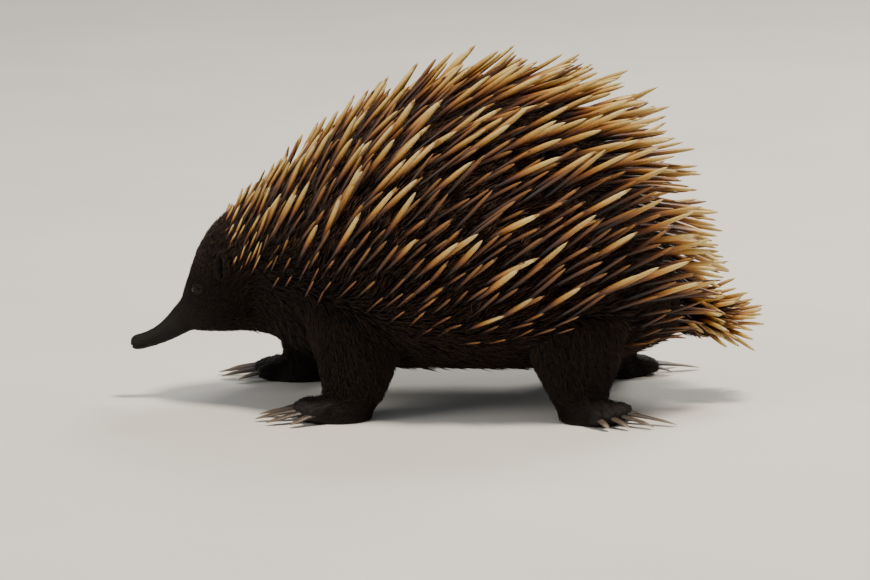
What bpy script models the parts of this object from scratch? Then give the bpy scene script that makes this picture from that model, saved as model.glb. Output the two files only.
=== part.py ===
"""Short-beaked echidna at life size, walking with its bill held low.

The animal faces -X, its left side is -Y, +Z is up, and its soles rest on z = 0.
Head, trunk and rump share one surface, the fur between the spines: a run of upright
sections through the midline, each with a top point, a low point and a half width.
Every node is a stretch of that surface, or a limb, foot, claw, eye, ear, bill or tail
placed from it. The spines grow from it last, clear of every other node.
"""

import math
import random

import bmesh
import bpy
import numpy as np
from mathutils import Matrix, Vector
from mathutils.bvhtree import BVHTree

# Everything is in metres.
MM = 0.001
GAP = 0.3 * MM  # between nodes that touch

# Sections of the body, in millimetres: top x, top z, low x, low z, half width.
SECTIONS = {
    "bill_root": (-166, 65.5, -158, 44.5, 10),
    "face": (-161, 80.5, -149, 44, 15.5),
    "brow": (-152.5, 101, -138, 45, 24.5),
    "crown": (-138.5, 118.5, -125, 46, 32),
    "nape": (-117, 131.5, -110, 43.5, 41.8),
    "neck": (-95, 149, -92, 35, 55),
    "shoulder": (-62, 171, -62, 27, 75),
    "withers": (-22, 192, -22, 25, 89),
    "back": (22, 202, 22, 25, 95),
    "loin": (62, 199.5, 62, 25, 93.5),
    "croup": (98, 176, 98, 28, 84),
    "rump": (128, 138, 128, 34, 66),
    "tail_root": (149, 99, 149, 42, 41),
    "vent": (160, 74, 160, 50, 15),
}
SECTION_ROWS = np.array(list(SECTIONS.values()), float) * MM
SECTION_INDEX = {name: float(i) for i, name in enumerate(SECTIONS)}
HEAD_WIDEST = 0.50  # share of a section's height where it is widest, at the bill
TRUNK_WIDEST = 0.42  # the same from the shoulder back
UPPER_SQUARENESS = 2.15  # superellipse power of a trunk section above its widest line
LOWER_SQUARENESS = 2.7

# Stretches of the body that are nodes of their own: first and last section, rings.
BODY_NODES = {
    "head": ("bill_root", "nape", 9),
    "shoulders": ("nape", "withers", 9),
    "trunk": ("withers", "croup", 9),
    "rump": ("croup", "vent", 8),
}
BODY_SIDES = 28

# Spines by section: rise above level on the top line and on the flank in degrees, length
# in millimetres, and the height in millimetres below which none grow.
SPINES = {
    "crown": (68, 52, 20, 98),
    "nape": (64, 53, 28, 98),
    "neck": (61, 53, 36, 90),
    "shoulder": (58, 50, 42, 80),
    "withers": (46, 46, 46, 66),
    "back": (32, 40, 47, 57),
    "loin": (25, 38, 48, 53),
    "croup": (14, 33, 48, 51),
    "rump": (-6, 18, 46, 48),
    "tail_root": (-20, 3, 40, 50),
    "vent": (-34, -14, 34, 56),
}
SPINE_SECTIONS = (3.2, 12.75)  # where the spines start on the crown and end over the tail
SPINE_SPACING = 12.4 * MM
CROWN_SPACING = 9 * MM  # on the head, where the spines are short
SPINE_TRIES = 9000
SPINE_SIDES = 4
SPINE_ROOT_RADIUS = 1.5 * MM
SPINE_RADIUS = 2.05 * MM  # at its thickest
SPINE_THICKEST_AT = 0.42  # share of the length
SPINE_SUNK = 3.0 * MM  # depth of the root's end under the surface
SPINE_LIFT = 22  # least degrees between a spine and the surface
SPINE_RAISED = (0, 0, 5, 10)  # degrees added where a spine would touch another piece
SPINE_FAN = 0.3  # how much the spines spread sideways
SPINE_TURN = 0.08  # random turn of each, in radians
SPINE_VARIATION = (0.88, 1.10)  # of the lengths
SPINE_SHORTER_LOW = 0.2  # share by which the lowest spines of the flank are shorter
SPINE_SAMPLES = 24  # places along a spine where its clearance is tested
SPINE_SEED = 11
TAIL_SPINES = 34  # places in the spiral, those under the tail left bare
TAIL_SPINE_LENGTH = 27 * MM
TAIL_SPINE_RUN = (0.28, 0.94)  # shares of the tail's length
TAIL_SPINE_SPLAY = 0.75
TAIL_BARE_BELOW = -0.3  # height of the outward direction below which none grow
GOLDEN_ANGLE = math.radians(137.5)

BILL_TIP = Vector((-198.5, 0, 36)) * MM
BILL_RINGS = (  # share of the bill's length, half height, half width in millimetres
    (0.12, 9.2, 8.7),
    (0.30, 7.8, 7.2),
    (0.52, 6.4, 6.1),
    (0.76, 5.6, 5.6),
    (0.90, 5.4, 5.7),
    (0.97, 4.5, 5.0),
    (1.00, 2.7, 3.1),
)
BILL_BOW = 3.6 * MM  # how far its middle hangs below the straight line from root to tip
BILL_SIDES = 18
MOUTH = Vector((13, 9, 0.4)) * MM  # half length, half width and half opening of the slit
MOUTH_DROP = 1.6 * MM  # below the bill's axis
NOSTRIL = Vector((1.6, 0.7, 1.3)) * MM  # half sizes
NOSTRIL_AT = Vector((5.5, 4.6, 1.9)) * MM  # back from the tip, above the axis, off the midline

EYE_RADIUS = 4.0 * MM
EYE_AT = (1.30, 26)  # section, and degrees above the widest line
LID_THICKNESS = 1.0 * MM
EYE_DEPTH = 0.45  # of its radius, under the surface
LID_OVAL = (1.12, 0.86, 1, 1)
EAR_AT = (2.72, 18)
EAR = Vector((4.0, 8.5, 4.2)) * MM  # half width, half height and half depth of the cup
EAR_SUNK = 2.2 * MM
EAR_HOLLOW = Vector((1.9, 6.1, 3.6)) * MM
EAR_HOLLOW_RAISED = 1.6 * MM

TAIL_ROOT = Vector((150, 0, 62)) * MM
TAIL_TIP = Vector((184, 0, 47)) * MM
TAIL_RADIUS = 15 * MM
TAIL_FLATNESS = 0.85  # height of the tail over its width
TAIL_RINGS = ((0.0, 1.0), (0.35, 0.93), (0.7, 0.70), (0.92, 0.42), (1.0, 0.2))

# Limbs, in millimetres: rings from the trunk down, as x, y, z, radius along x, along y.
# y is measured outwards from the midline. The stride is the shift of each limb along x.
FORELEG = (
    (-60, 44, 84, 30, 20),
    (-57, 60, 56, 29, 21),
    (-55, 67, 34, 25, 20),
    (-57, 70, 15.3, 20, 18),
)
HINDLEG = (
    (84, 42, 92, 38, 24),
    (90, 62, 62, 36, 24),
    (95, 72, 36, 28, 21),
    (96, 76, 15.3, 18.5, 16.5),
)
LIMB_SIDES = 16
LIMB_RINGS = 6
STRIDE = {
    ("fore", "left"): 4 * MM,
    ("fore", "right"): -24 * MM,
    ("hind", "left"): -6 * MM,
    ("hind", "right"): 16 * MM,
}

# Feet, in millimetres, with the turn of the toes outward from straight ahead in degrees.
# Claw lengths run from the inner digit to the outer one on the forefoot, and from the
# outer one to the inner one on the hind foot, which is turned backwards.
ANKLE_HEIGHT = 15 * MM
FOOT = {
    "fore": {
        "yaw": 10,
        "half_length": 23,
        "half_width": 20,
        "claws": (14, 23, 26, 23, 14),
        "claw_width": 7.2,
        "spread": 16.5,
    },
    "hind": {
        "yaw": 146,
        "half_length": 21,
        "half_width": 17,
        "claws": (10, 33, 24, 15, 10),
        "claw_width": 6.0,
        "spread": 14.5,
    },
}
FOOT_RINGS = (0.0, 0.3, 0.62, 1.0)  # shares of the height from the wrist down
TOE_FAN = math.radians(26)  # turn of the outer toes from the middle one
TOE_RADIUS = 5.4 * MM
CLAW_SIDES = 6
CLAW_RINGS = 3
CLAW_DROP = 3.2 * MM  # from its root to its tip
CLAW_ROOT = Vector((-2, 0, 0.6)) * MM  # from the middle of the toe
CLAW_RISE = math.radians(-2)

COLOURS = {  # base colour, roughness
    "spiny_coat": ((0.10, 0.055, 0.025, 1), 0.8),
    "fur": ((0.028, 0.017, 0.011, 1), 0.9),
    "bill_skin": ((0.022, 0.018, 0.017, 1), 0.55),
    "foot_skin": ((0.045, 0.032, 0.026, 1), 0.7),
    "claw_horn": ((0.10, 0.075, 0.055, 1), 0.4),
    "eye": ((0.006, 0.004, 0.003, 1), 0.08),
}


def clear_scene():
    for obj in list(bpy.data.objects):
        bpy.data.objects.remove(obj, do_unlink=True)


def new_collection(name, shown=True):
    collection = bpy.data.collections.new(name)
    bpy.context.scene.collection.children.link(collection)
    collection.hide_render = not shown
    return collection


def make_material(name):
    colour, roughness = COLOURS[name]
    material = bpy.data.materials.new(name)
    material.use_nodes = True
    shader = material.node_tree.nodes["Principled BSDF"]
    shader.inputs["Base Color"].default_value = colour
    shader.inputs["Roughness"].default_value = roughness
    shader.inputs["Metallic"].default_value = 0.0
    material.diffuse_color = colour
    return material


def add_object(name, bm, collection, material=None):
    """Turns a bmesh into an object at the origin, with smooth shading."""
    mesh = bpy.data.meshes.new(name)
    bm.to_mesh(mesh)
    bm.free()
    if material:
        mesh.materials.append(material)
    mesh.shade_smooth()
    mesh.set_sharp_from_angle(angle=math.radians(40))
    obj = bpy.data.objects.new(name, mesh)
    collection.objects.link(obj)
    return obj


def remove_object(obj):
    mesh = obj.data
    bpy.data.objects.remove(obj, do_unlink=True)
    if not mesh.users:
        bpy.data.meshes.remove(mesh)


def apply_modifiers(obj):
    bpy.context.view_layer.update()
    graph = bpy.context.evaluated_depsgraph_get()
    mesh = bpy.data.meshes.new_from_object(obj.evaluated_get(graph))
    obj.modifiers.clear()
    old = obj.data
    obj.data = mesh
    bpy.data.meshes.remove(old)


def cut(obj, cutter, solver="EXACT"):
    """Takes the cutter's volume out of obj."""
    modifier = obj.modifiers.new("cut", "BOOLEAN")
    modifier.operation = "DIFFERENCE"
    modifier.object = cutter
    modifier.solver = solver
    apply_modifiers(obj)


def fuse(obj, pieces, solver="EXACT"):
    """Joins the objects of the collection to obj, and removes them."""
    modifier = obj.modifiers.new("fuse", "BOOLEAN")
    modifier.operation = "UNION"
    modifier.operand_type = "COLLECTION"
    modifier.collection = pieces
    modifier.solver = solver
    apply_modifiers(obj)
    for piece in list(pieces.objects):
        remove_object(piece)


def surface_volume(faces):
    """Volume under a set of connected faces."""
    total = 0.0
    for face in faces:
        first, *rest = [vert.co for vert in face.verts]
        for second, third in zip(rest, rest[1:]):
            total += first.dot(second.cross(third)) / 6
    return total


def keep_largest(obj):
    """Keeps the largest closed surface of obj, which drops scraps and sealed hollows."""
    bm = bmesh.new()
    bm.from_mesh(obj.data)
    bmesh.ops.remove_doubles(bm, verts=bm.verts, dist=0.001 * MM)
    left = set(bm.faces)
    shells = []
    while left:
        shell, border = set(), [left.pop()]
        while border:
            face = border.pop()
            shell.add(face)
            for edge in face.edges:
                for other in edge.link_faces:
                    if other in left:
                        left.discard(other)
                        border.append(other)
        shells.append(shell)
    shells.sort(key=lambda shell: abs(surface_volume(shell)))
    dropped = [face for shell in shells[:-1] for face in shell]
    bmesh.ops.delete(bm, geom=dropped, context="FACES")
    bm.to_mesh(obj.data)
    bm.free()


def inflated(obj, by, collection):
    """A copy of obj with its surface moved out by the given distance, to cut with."""
    bm = bmesh.new()
    bm.from_mesh(obj.data)
    bm.normal_update()
    moves = [vert.normal * by for vert in bm.verts]
    for vert, move in zip(bm.verts, moves):
        vert.co += move
    return add_object(obj.name + "_clearance", bm, collection)


def cut_clear_of(obj, neighbour, collection):
    """Cuts obj back so that it meets its neighbour face to face across the gap."""
    cutter = inflated(neighbour, GAP, collection)
    cut(obj, cutter)
    remove_object(cutter)
    keep_largest(obj)


def smooth_step(value, low, high):
    share = min(max((value - low) / (high - low), 0.0), 1.0)
    return share * share * (3 - 2 * share)


def spline(rows, at):
    """Catmull-Rom curve through the rows, with row i at the value i."""
    last = len(rows) - 1
    i = min(int(at), last - 1)
    t = at - i
    a, b, c, d = (rows[min(max(k, 0), last)] for k in range(i - 1, i + 3))
    return 0.5 * (2 * b + (c - a) * t + (2 * a - 5 * b + 4 * c - d) * t**2 + (3 * b - a - 3 * c + d) * t**3)


def power_curve(value, squareness):
    return math.copysign(abs(value) ** (2 / squareness), value)


def body_point(section, degrees):
    """A point of the body's surface.

    Degrees run round the section: 0 is its widest line on the right side, 90 the top
    of the back, 180 the widest line on the left side and 270 the belly.
    """
    top_x, top_z, low_x, low_z, half_width = spline(SECTION_ROWS, section)
    low = Vector((low_x, 0, low_z))
    up = Vector((top_x, 0, top_z)) - low
    trunk_share = smooth_step(section, SECTION_INDEX["crown"], SECTION_INDEX["shoulder"])
    widest = HEAD_WIDEST + (TRUNK_WIDEST - HEAD_WIDEST) * trunk_share
    across, along = math.cos(math.radians(degrees)), math.sin(math.radians(degrees))
    trunk_power = UPPER_SQUARENESS if along > 0 else LOWER_SQUARENESS
    power = 2 + (trunk_power - 2) * trunk_share
    reach = (1 - widest) if along > 0 else widest
    height = widest + reach * power_curve(along, power)
    return low + up * height + Vector((0, half_width * power_curve(across, power), 0))


def body_normal(section, degrees):
    """Outward normal of the body's surface."""
    last = len(SECTION_ROWS) - 1
    before, after = max(section - 0.05, 0), min(section + 0.05, last)
    along = body_point(after, degrees) - body_point(before, degrees)
    around = body_point(section, degrees + 1) - body_point(section, degrees - 1)
    return around.cross(along).normalized()


def loft(rings, sides):
    """A closed surface through rings of points, with flat ends, in triangles."""
    bm = bmesh.new()
    rows = [[bm.verts.new(point) for point in ring] for ring in rings]
    for first, second in zip(rows, rows[1:]):
        for k in range(sides):
            n = (k + 1) % sides
            bm.faces.new((first[k], first[n], second[n], second[k]))
    bm.faces.new(reversed(rows[0]))
    bm.faces.new(rows[-1])
    bmesh.ops.recalc_face_normals(bm, faces=bm.faces)
    bmesh.ops.triangulate(bm, faces=bm.faces)
    return bm


def section_normal(section):
    """Normal of a section's plane, pointing to the tail."""
    top_x, top_z, low_x, low_z, _ = spline(SECTION_ROWS, section)
    return Vector((top_z - low_z, 0, low_x - top_x)).normalized()


def body_ring(section, sides=BODY_SIDES):
    return [body_point(section, 360 * k / sides) for k in range(sides)]


def make_body(collection, materials):
    """Head, shoulders, trunk and rump, parted by plane cuts of one gap."""
    nodes = {}
    for name, (first, last, count) in BODY_NODES.items():
        start, end = SECTION_INDEX[first], SECTION_INDEX[last]
        rings = [body_ring(start + (end - start) * i / count) for i in range(count + 1)]
        shift = section_normal(start) * GAP
        rings[0] = [point + shift for point in rings[0]]
        bm = loft(rings, BODY_SIDES)
        nodes[name] = add_object(name, bm, collection, materials["spiny_coat"])
    return nodes


def ellipse_ring(centre, across, up, half_width, half_height, sides):
    ring = []
    for k in range(sides):
        turn = 2 * math.pi * k / sides
        ring.append(centre + across * (half_width * math.cos(turn)) + up * (half_height * math.sin(turn)))
    return ring


def bill_frame():
    """The bill's root, its axis to the tip and its own up direction."""
    top_x, top_z, low_x, low_z, _ = SECTION_ROWS[0]
    root = Vector(((top_x + low_x) / 2, 0, (top_z + low_z) / 2))
    axis = BILL_TIP - root
    up = Vector((-axis.z, 0, axis.x)).normalized()
    if up.z < 0:
        up.negate()
    return root, axis, up


def bill_place(share):
    """A point on the bill's bowed midline, with the way it runs there and its up direction."""
    root, axis, up = bill_frame()
    centre = root + axis * share - up * (4 * BILL_BOW * share * (1 - share))
    forward = (axis - up * (4 * BILL_BOW * (1 - 2 * share))).normalized()
    return centre, forward, Vector((forward.z, 0, -forward.x))


def ellipsoid(centre, radii, turn, name, collection, segments=12, rings=8):
    """A closed ellipsoid, to cut with or to fuse."""
    bm = bmesh.new()
    bmesh.ops.create_uvsphere(bm, u_segments=segments, v_segments=rings, radius=1)
    scale = Matrix.Diagonal((*radii, 1))
    bmesh.ops.transform(bm, matrix=Matrix.Translation(centre) @ turn.to_4x4() @ scale, verts=bm.verts)
    bmesh.ops.triangulate(bm, faces=bm.faces)
    bmesh.ops.recalc_face_normals(bm, faces=bm.faces)
    return add_object(name, bm, collection)


def axes_matrix(x_axis, y_axis, z_axis):
    return Matrix((x_axis, y_axis, z_axis)).transposed()


def make_bill(collection, cutters, materials):
    """A slender tube with a mouth slit at its tip and two slit nostrils above it."""
    side = Vector((0, 1, 0))
    first = body_ring(0, BILL_SIDES)
    rings = [[point - section_normal(0) * GAP for point in first]]
    for share, half_height, half_width in BILL_RINGS:
        centre, _, up = bill_place(share)
        rings.append(ellipse_ring(centre, side, up, half_width * MM, half_height * MM, BILL_SIDES))
    bill = add_object("bill", loft(rings, BILL_SIDES), collection, materials["bill_skin"])
    tip, forward, up = bill_place(1)
    turn = axes_matrix(forward, side, up)
    slit = ellipsoid(tip - up * MOUTH_DROP, MOUTH, turn, "mouth", cutters, 16, 4)
    cut(bill, slit)
    remove_object(slit)
    back, high, apart = NOSTRIL_AT
    for way in (-1, 1):
        centre = tip - forward * back + up * high + side * apart * way
        nostril = ellipsoid(centre, NOSTRIL, turn, "nostril", cutters, 8, 6)
        cut(bill, nostril)
        remove_object(nostril)
    keep_largest(bill)


def side_degrees(degrees, side):
    return 180 - degrees if side == "left" else degrees


def surface_frame(section, degrees):
    """Point, outward normal, and the directions along the surface to the tail and up."""
    point = body_point(section, degrees)
    normal = body_normal(section, degrees)
    back = Vector((1, 0, 0)) - normal * normal.x
    back.normalize()
    up = back.cross(normal)
    if up.z < 0:
        up.negate()
    return point, normal, back, up


def make_eye(side, head, collection, cutters, materials):
    """A ball set deep in the head, with a lid ring round it that belongs to the head."""
    section, degrees = EYE_AT
    point, normal, back, up = surface_frame(section, side_degrees(degrees, side))
    centre = point - normal * EYE_RADIUS * EYE_DEPTH
    turn = axes_matrix(back, up, normal)
    bpy.ops.mesh.primitive_torus_add(
        major_segments=12,
        minor_segments=5,
        major_radius=EYE_RADIUS * 0.98,
        minor_radius=LID_THICKNESS,
    )
    torus = bpy.context.object
    lid = bmesh.new()
    lid.from_mesh(torus.data)
    remove_object(torus)
    place = Matrix.Translation(point - normal * GAP) @ turn.to_4x4() @ Matrix.Diagonal(LID_OVAL)
    bmesh.ops.transform(lid, matrix=place, verts=lid.verts)
    bmesh.ops.triangulate(lid, faces=lid.faces)
    bmesh.ops.recalc_face_normals(lid, faces=lid.faces)
    add_object("lid", lid, cutters)
    fuse(head, cutters)
    radius = EYE_RADIUS + GAP
    socket = ellipsoid(centre, (radius,) * 3, turn, "socket", cutters, 12, 8)
    cut(head, socket)
    remove_object(socket)
    ball = ellipsoid(centre, (EYE_RADIUS,) * 3, turn, "eye_" + side, collection, 12, 8)
    ball.data.materials.append(materials["eye"])


def make_ear(side, head, collection, cutters, materials):
    """An upright oval cup in the side of the head, open outwards as a slit."""
    section, degrees = EAR_AT
    point, normal, back, up = surface_frame(section, side_degrees(degrees, side))
    turn = axes_matrix(back, up, normal)
    ear = ellipsoid(point - normal * EAR_SUNK, EAR, turn, "ear_" + side, collection, 12, 6)
    ear.data.materials.append(materials["bill_skin"])
    middle = point + normal * EAR_HOLLOW_RAISED
    hollow = ellipsoid(middle, EAR_HOLLOW, turn, "hollow", cutters, 10, 5)
    pocket = inflated(ear, GAP, cutters)
    cut(head, pocket)
    remove_object(pocket)
    cut(ear, hollow)
    remove_object(hollow)
    keep_largest(ear)


def tail_frame():
    """The tail's root inside the rump, its axis to the tip and its own up direction."""
    root = TAIL_ROOT
    axis = TAIL_TIP - root
    return root, axis, Vector((-axis.z, 0, axis.x)).normalized()


def make_tail(collection, materials):
    """A short blunt cone that points back and down from the rump."""
    root, axis, up = tail_frame()
    side = Vector((0, 1, 0))
    rings = []
    for share, size in TAIL_RINGS:
        width = TAIL_RADIUS * size
        rings.append(ellipse_ring(root + axis * share, side, up, width, width * TAIL_FLATNESS, LIMB_SIDES))
    return add_object("tail", loft(rings, LIMB_SIDES), collection, materials["spiny_coat"])


def limb_ring(rows, at, side, stride):
    x, y, z, radius_x, radius_y = spline(rows, at)
    way = -1 if side == "left" else 1
    centre = Vector((x + stride, y * way, z))
    return ellipse_ring(centre, Vector((1, 0, 0)), Vector((0, 1, 0)), radius_x, radius_y, LIMB_SIDES)


def make_leg(pair, side, neighbours, collection, cutters, materials):
    """A short thick limb, cut back where it enters the trunk."""
    rows = np.array(FORELEG if pair == "fore" else HINDLEG, float) * MM
    last = len(rows) - 1
    stride = STRIDE[pair, side]
    rings = [limb_ring(rows, last * i / LIMB_RINGS, side, stride) for i in range(LIMB_RINGS + 1)]
    leg = add_object(f"{pair}leg_{side}", loft(rings, LIMB_SIDES), collection, materials["fur"])
    for neighbour in neighbours:
        cut_clear_of(leg, neighbour, cutters)


def claw_mesh(length, width, drop):
    """A claw along local -X from the origin: rounded above, thinner and lower at its tip."""
    rings = []
    for i in range(CLAW_RINGS + 1):
        share = i / CLAW_RINGS
        size = (1 - 0.55 * share**2.5) * width / 2
        centre = Vector((-length * share, 0, -drop * share**1.8))
        height = size * (0.72 - 0.3 * share)
        rings.append(ellipse_ring(centre, Vector((0, 1, 0)), Vector((0, 0, 1)), size, height, CLAW_SIDES))
    return loft(rings, CLAW_SIDES)


def make_foot(pair, side, collection, cutters, materials):
    """A broad foot with five toes and their claws, flat under its sole."""
    size = FOOT[pair]
    rows = np.array(FORELEG if pair == "fore" else HINDLEG, float) * MM
    way = -1 if side == "left" else 1
    x, y, _, radius_x, radius_y = rows[-1]
    ankle = Vector((x + STRIDE[pair, side], y * way, 0))
    yaw = math.radians(size["yaw"]) * way
    turn = Matrix.Translation(ankle) @ Matrix.Rotation(-yaw, 4, "Z")
    half_length, half_width = size["half_length"] * MM, size["half_width"] * MM
    heel_shift = -(half_length - 11 * MM)
    untwist = Matrix.Rotation(yaw, 4, "Z")
    rings = []
    for share in FOOT_RINGS:
        grown = smooth_step(share, 0, 0.75)
        centre = Vector((heel_shift * grown, 0, ANKLE_HEIGHT * (1 - share)))
        ahead, across = Vector((1, 0, 0)), Vector((0, 1, 0))
        if share == 0:
            ahead, across = untwist @ ahead, untwist @ across
        width = radius_x + (half_length - radius_x) * grown
        depth = radius_y + (half_width - radius_y) * grown
        rings.append(ellipse_ring(centre, ahead, across, width, depth, LIMB_SIDES))
    bm = loft(rings, LIMB_SIDES)
    bmesh.ops.transform(bm, matrix=turn, verts=bm.verts)
    name = f"{pair}foot_{side}"
    foot = add_object(name, bm, collection, materials["foot_skin"])
    digits = []
    for i, claw_length in enumerate(size["claws"]):
        across = (i / (len(size["claws"]) - 1) * 2 - 1) * way
        if pair == "hind":
            across = -across
        fan = -TOE_FAN * across
        reach = half_length * (1 - 0.22 * across**2)
        base = Vector((heel_shift - reach + 4 * MM, size["spread"] * MM * across, 5.4 * MM))
        place = turn @ Matrix.Translation(base) @ Matrix.Rotation(fan, 4, "Z")
        digits.append((i + 1, claw_length * MM, place))
        radii = Matrix.Diagonal((TOE_RADIUS * 1.5, TOE_RADIUS * 0.86, TOE_RADIUS, 1))
        toe = bmesh.new()
        bmesh.ops.create_uvsphere(toe, u_segments=8, v_segments=5, radius=1)
        bmesh.ops.transform(toe, matrix=place @ radii, verts=toe.verts)
        bmesh.ops.triangulate(toe, faces=toe.faces)
        add_object("toe", toe, cutters)
    fuse(foot, cutters)
    trim_below_floor(foot, cutters)
    keep_largest(foot)
    for digit, claw_length, place in digits:
        bm = claw_mesh(claw_length + TOE_RADIUS, size["claw_width"] * MM, CLAW_DROP)
        lean = Matrix.Translation(CLAW_ROOT) @ Matrix.Rotation(CLAW_RISE, 4, "Y")
        bmesh.ops.transform(bm, matrix=place @ lean, verts=bm.verts)
        claw = add_object(f"{name}_claw_{digit}", bm, collection, materials["claw_horn"])
        cut_clear_of(claw, foot, cutters)


def trim_below_floor(obj, cutters):
    """Cuts away what reaches below z = 0, which leaves a flat sole."""
    bm = bmesh.new()
    bmesh.ops.create_cube(bm, size=1)
    box = Matrix.Translation((0, 0, -0.05)) @ Matrix.Diagonal((1, 1, 0.1, 1))
    bmesh.ops.transform(bm, matrix=box, verts=bm.verts)
    floor = add_object("below_floor", bm, cutters)
    cut(obj, floor)
    remove_object(floor)


def spine_values(section):
    """Rise on the top line and on the flank, length and lowest height at a section."""
    at = [SECTION_INDEX[name] for name in SPINES]
    rows = np.array(list(SPINES.values()), float)
    return [np.interp(section, at, rows[:, k]) for k in range(rows.shape[1])]


def spine_direction(section, degrees, normal):
    """Up and back as seen from the side, and out from the surface by the lift at least."""
    top_rise, flank_rise, _, _ = spine_values(section)
    on_top = smooth_step(math.sin(math.radians(degrees)), 0.3, 0.95)
    rise = math.radians(flank_rise + (top_rise - flank_rise) * on_top)
    direction = Vector((math.cos(rise), SPINE_FAN * normal.y, math.sin(rise))).normalized()
    missing = math.sin(math.radians(SPINE_LIFT)) - direction.dot(normal)
    return (direction + normal * max(missing, 0)).normalized()


def aims_from(direction, normal, draw):
    """The direction turned a little at random, and raised more and more."""
    aims = []
    for degrees in SPINE_RAISED:
        turned = direction + Vector([draw.uniform(-SPINE_TURN, SPINE_TURN) for _ in range(3)])
        raised = turned.normalized() + normal * math.sin(math.radians(degrees))
        aims.append(raised.normalized())
    return aims


def spine_radii(shares):
    return np.interp(shares, (0, SPINE_THICKEST_AT, 1), (SPINE_ROOT_RADIUS, SPINE_RADIUS, 0))


def spine_samples(root, tip):
    """Points along a spine with its radius at each, to test what it would touch."""
    shares = np.linspace(0, 1, SPINE_SAMPLES)
    points = np.array(root) + (np.array(tip) - np.array(root)) * shares[:, None]
    return points, spine_radii(shares)


def clear_of_spines(points, radii, placed):
    """Whether the points keep clear of the axes of all the spines placed so far."""
    if not placed:
        return True
    roots = np.array([root for root, _ in placed])
    axes = np.array([tip for _, tip in placed]) - roots
    away = points[:, None] - roots
    shares = ((away * axes).sum(axis=2) / (axes * axes).sum(axis=1)).clip(0, 1)
    distances = np.linalg.norm(away - axes * shares[..., None], axis=2)
    return bool((distances > radii[:, None] + spine_radii(shares) + GAP).all())


def clear_of_solids(points, radii, trees):
    """Whether the points keep their radius and the gap away from other nodes."""
    for point, radius in zip(points, radii):
        for tree in trees:
            near, normal, _, distance = tree.find_nearest(Vector(point), 3 * SPINE_SUNK)
            if near is None:
                continue
            inside = (Vector(point) - near).normalized().dot(normal) < -0.5
            if inside or distance < radius + 1.5 * GAP:
                return False
    return True


def node_tree(obj):
    bm = bmesh.new()
    bm.from_mesh(obj.data)
    tree = BVHTree.FromBMesh(bm)
    bm.free()
    return tree


def spine_mesh():
    """A spine of unit length along +Z: thickest before its middle, drawn to a point."""
    bm = bmesh.new()
    bmesh.ops.create_cone(
        bm,
        cap_ends=True,
        segments=SPINE_SIDES,
        radius1=SPINE_ROOT_RADIUS,
        radius2=SPINE_RADIUS,
        depth=SPINE_THICKEST_AT,
    )
    bmesh.ops.translate(bm, verts=bm.verts, vec=(0, 0, SPINE_THICKEST_AT / 2))
    end = max(bm.faces, key=lambda face: face.calc_center_median().z)
    bmesh.ops.poke(bm, faces=[end], offset=1 - SPINE_THICKEST_AT)
    mesh = bpy.data.meshes.new("spine")
    bm.to_mesh(mesh)
    bm.free()
    return mesh


def grow_spine(node, anchor, normal, length, aims, trees, placed):
    """Sets one spine on a node, in the first direction that is clear, and says whether it did."""
    for aim in aims:
        root = anchor - aim * (SPINE_SUNK / aim.dot(normal))
        tip = anchor + aim * length
        points, radii = spine_samples(root, tip)
        if clear_of_spines(points, radii, placed) and clear_of_solids(points, radii, trees):
            placed.append((root, tip))
            node.append((root, tip))
            return True
    return False


def body_spines(nodes, trees, placed, draw):
    """Spines spread evenly over the crown, back, flanks and rump, at least a spacing apart."""
    spines = {name: [] for name in BODY_NODES}
    anchors = []
    for _ in range(SPINE_TRIES):
        section = draw.uniform(*SPINE_SECTIONS)
        degrees = draw.uniform(-90, 270)
        *_, length, lowest = spine_values(section)
        name = next(n for n, (_, last, _) in BODY_NODES.items() if section <= SECTION_INDEX[last])
        spacing = CROWN_SPACING if name == "head" else SPINE_SPACING
        anchor, normal, _, _ = trees[name].find_nearest(body_point(section, degrees))
        if anchor.z < lowest * MM or any((anchor - other).length < spacing for other in anchors):
            continue
        low_down = 1 - smooth_step(math.sin(math.radians(degrees)), -0.6, 0.5)
        length *= (1 - SPINE_SHORTER_LOW * low_down) * draw.uniform(*SPINE_VARIATION) * MM
        outward = body_normal(section, degrees)
        aims = aims_from(spine_direction(section, degrees, outward), outward, draw)
        others = [tree for other, tree in trees.items() if other != name]
        if grow_spine(spines[name], anchor, normal, length, aims, others, placed):
            anchors.append(anchor)
    return spines


def tail_spines(trees, placed, draw):
    """Spines in a spiral round the tail, all but under it, splayed out from its axis."""
    spines = []
    root, axis, up = tail_frame()
    others = [tree for name, tree in trees.items() if name != "tail"]
    start, end = TAIL_SPINE_RUN
    for i in range(TAIL_SPINES):
        centre = root + axis * (start + (end - start) * i / TAIL_SPINES)
        turn = GOLDEN_ANGLE * i
        outward = up * math.sin(turn) + Vector((0, math.cos(turn), 0))
        if outward.z < TAIL_BARE_BELOW:
            continue
        anchor, normal, _, _ = trees["tail"].find_nearest(centre + outward * TAIL_RADIUS)
        length = TAIL_SPINE_LENGTH * draw.uniform(*SPINE_VARIATION)
        aims = aims_from(axis.normalized() + outward * TAIL_SPINE_SPLAY, outward, draw)
        grow_spine(spines, anchor, normal, length, aims, others, placed)
    return spines


def fuse_spines(obj, spines, cutters, draw):
    """Makes the spines of one node as objects that share a mesh, and joins them to it."""
    mesh = spine_mesh()
    for root, tip in spines:
        axis = tip - root
        spine = bpy.data.objects.new("spine", mesh)
        turn = axis.to_track_quat("Z", "Y").to_matrix().to_4x4()
        twist = Matrix.Rotation(draw.uniform(0, math.pi), 4, "Z")
        stretch = Matrix.Diagonal((1, 1, axis.length, 1))
        spine.matrix_world = Matrix.Translation(root) @ turn @ twist @ stretch
        cutters.objects.link(spine)
    fuse(obj, cutters)
    keep_largest(obj)


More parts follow.
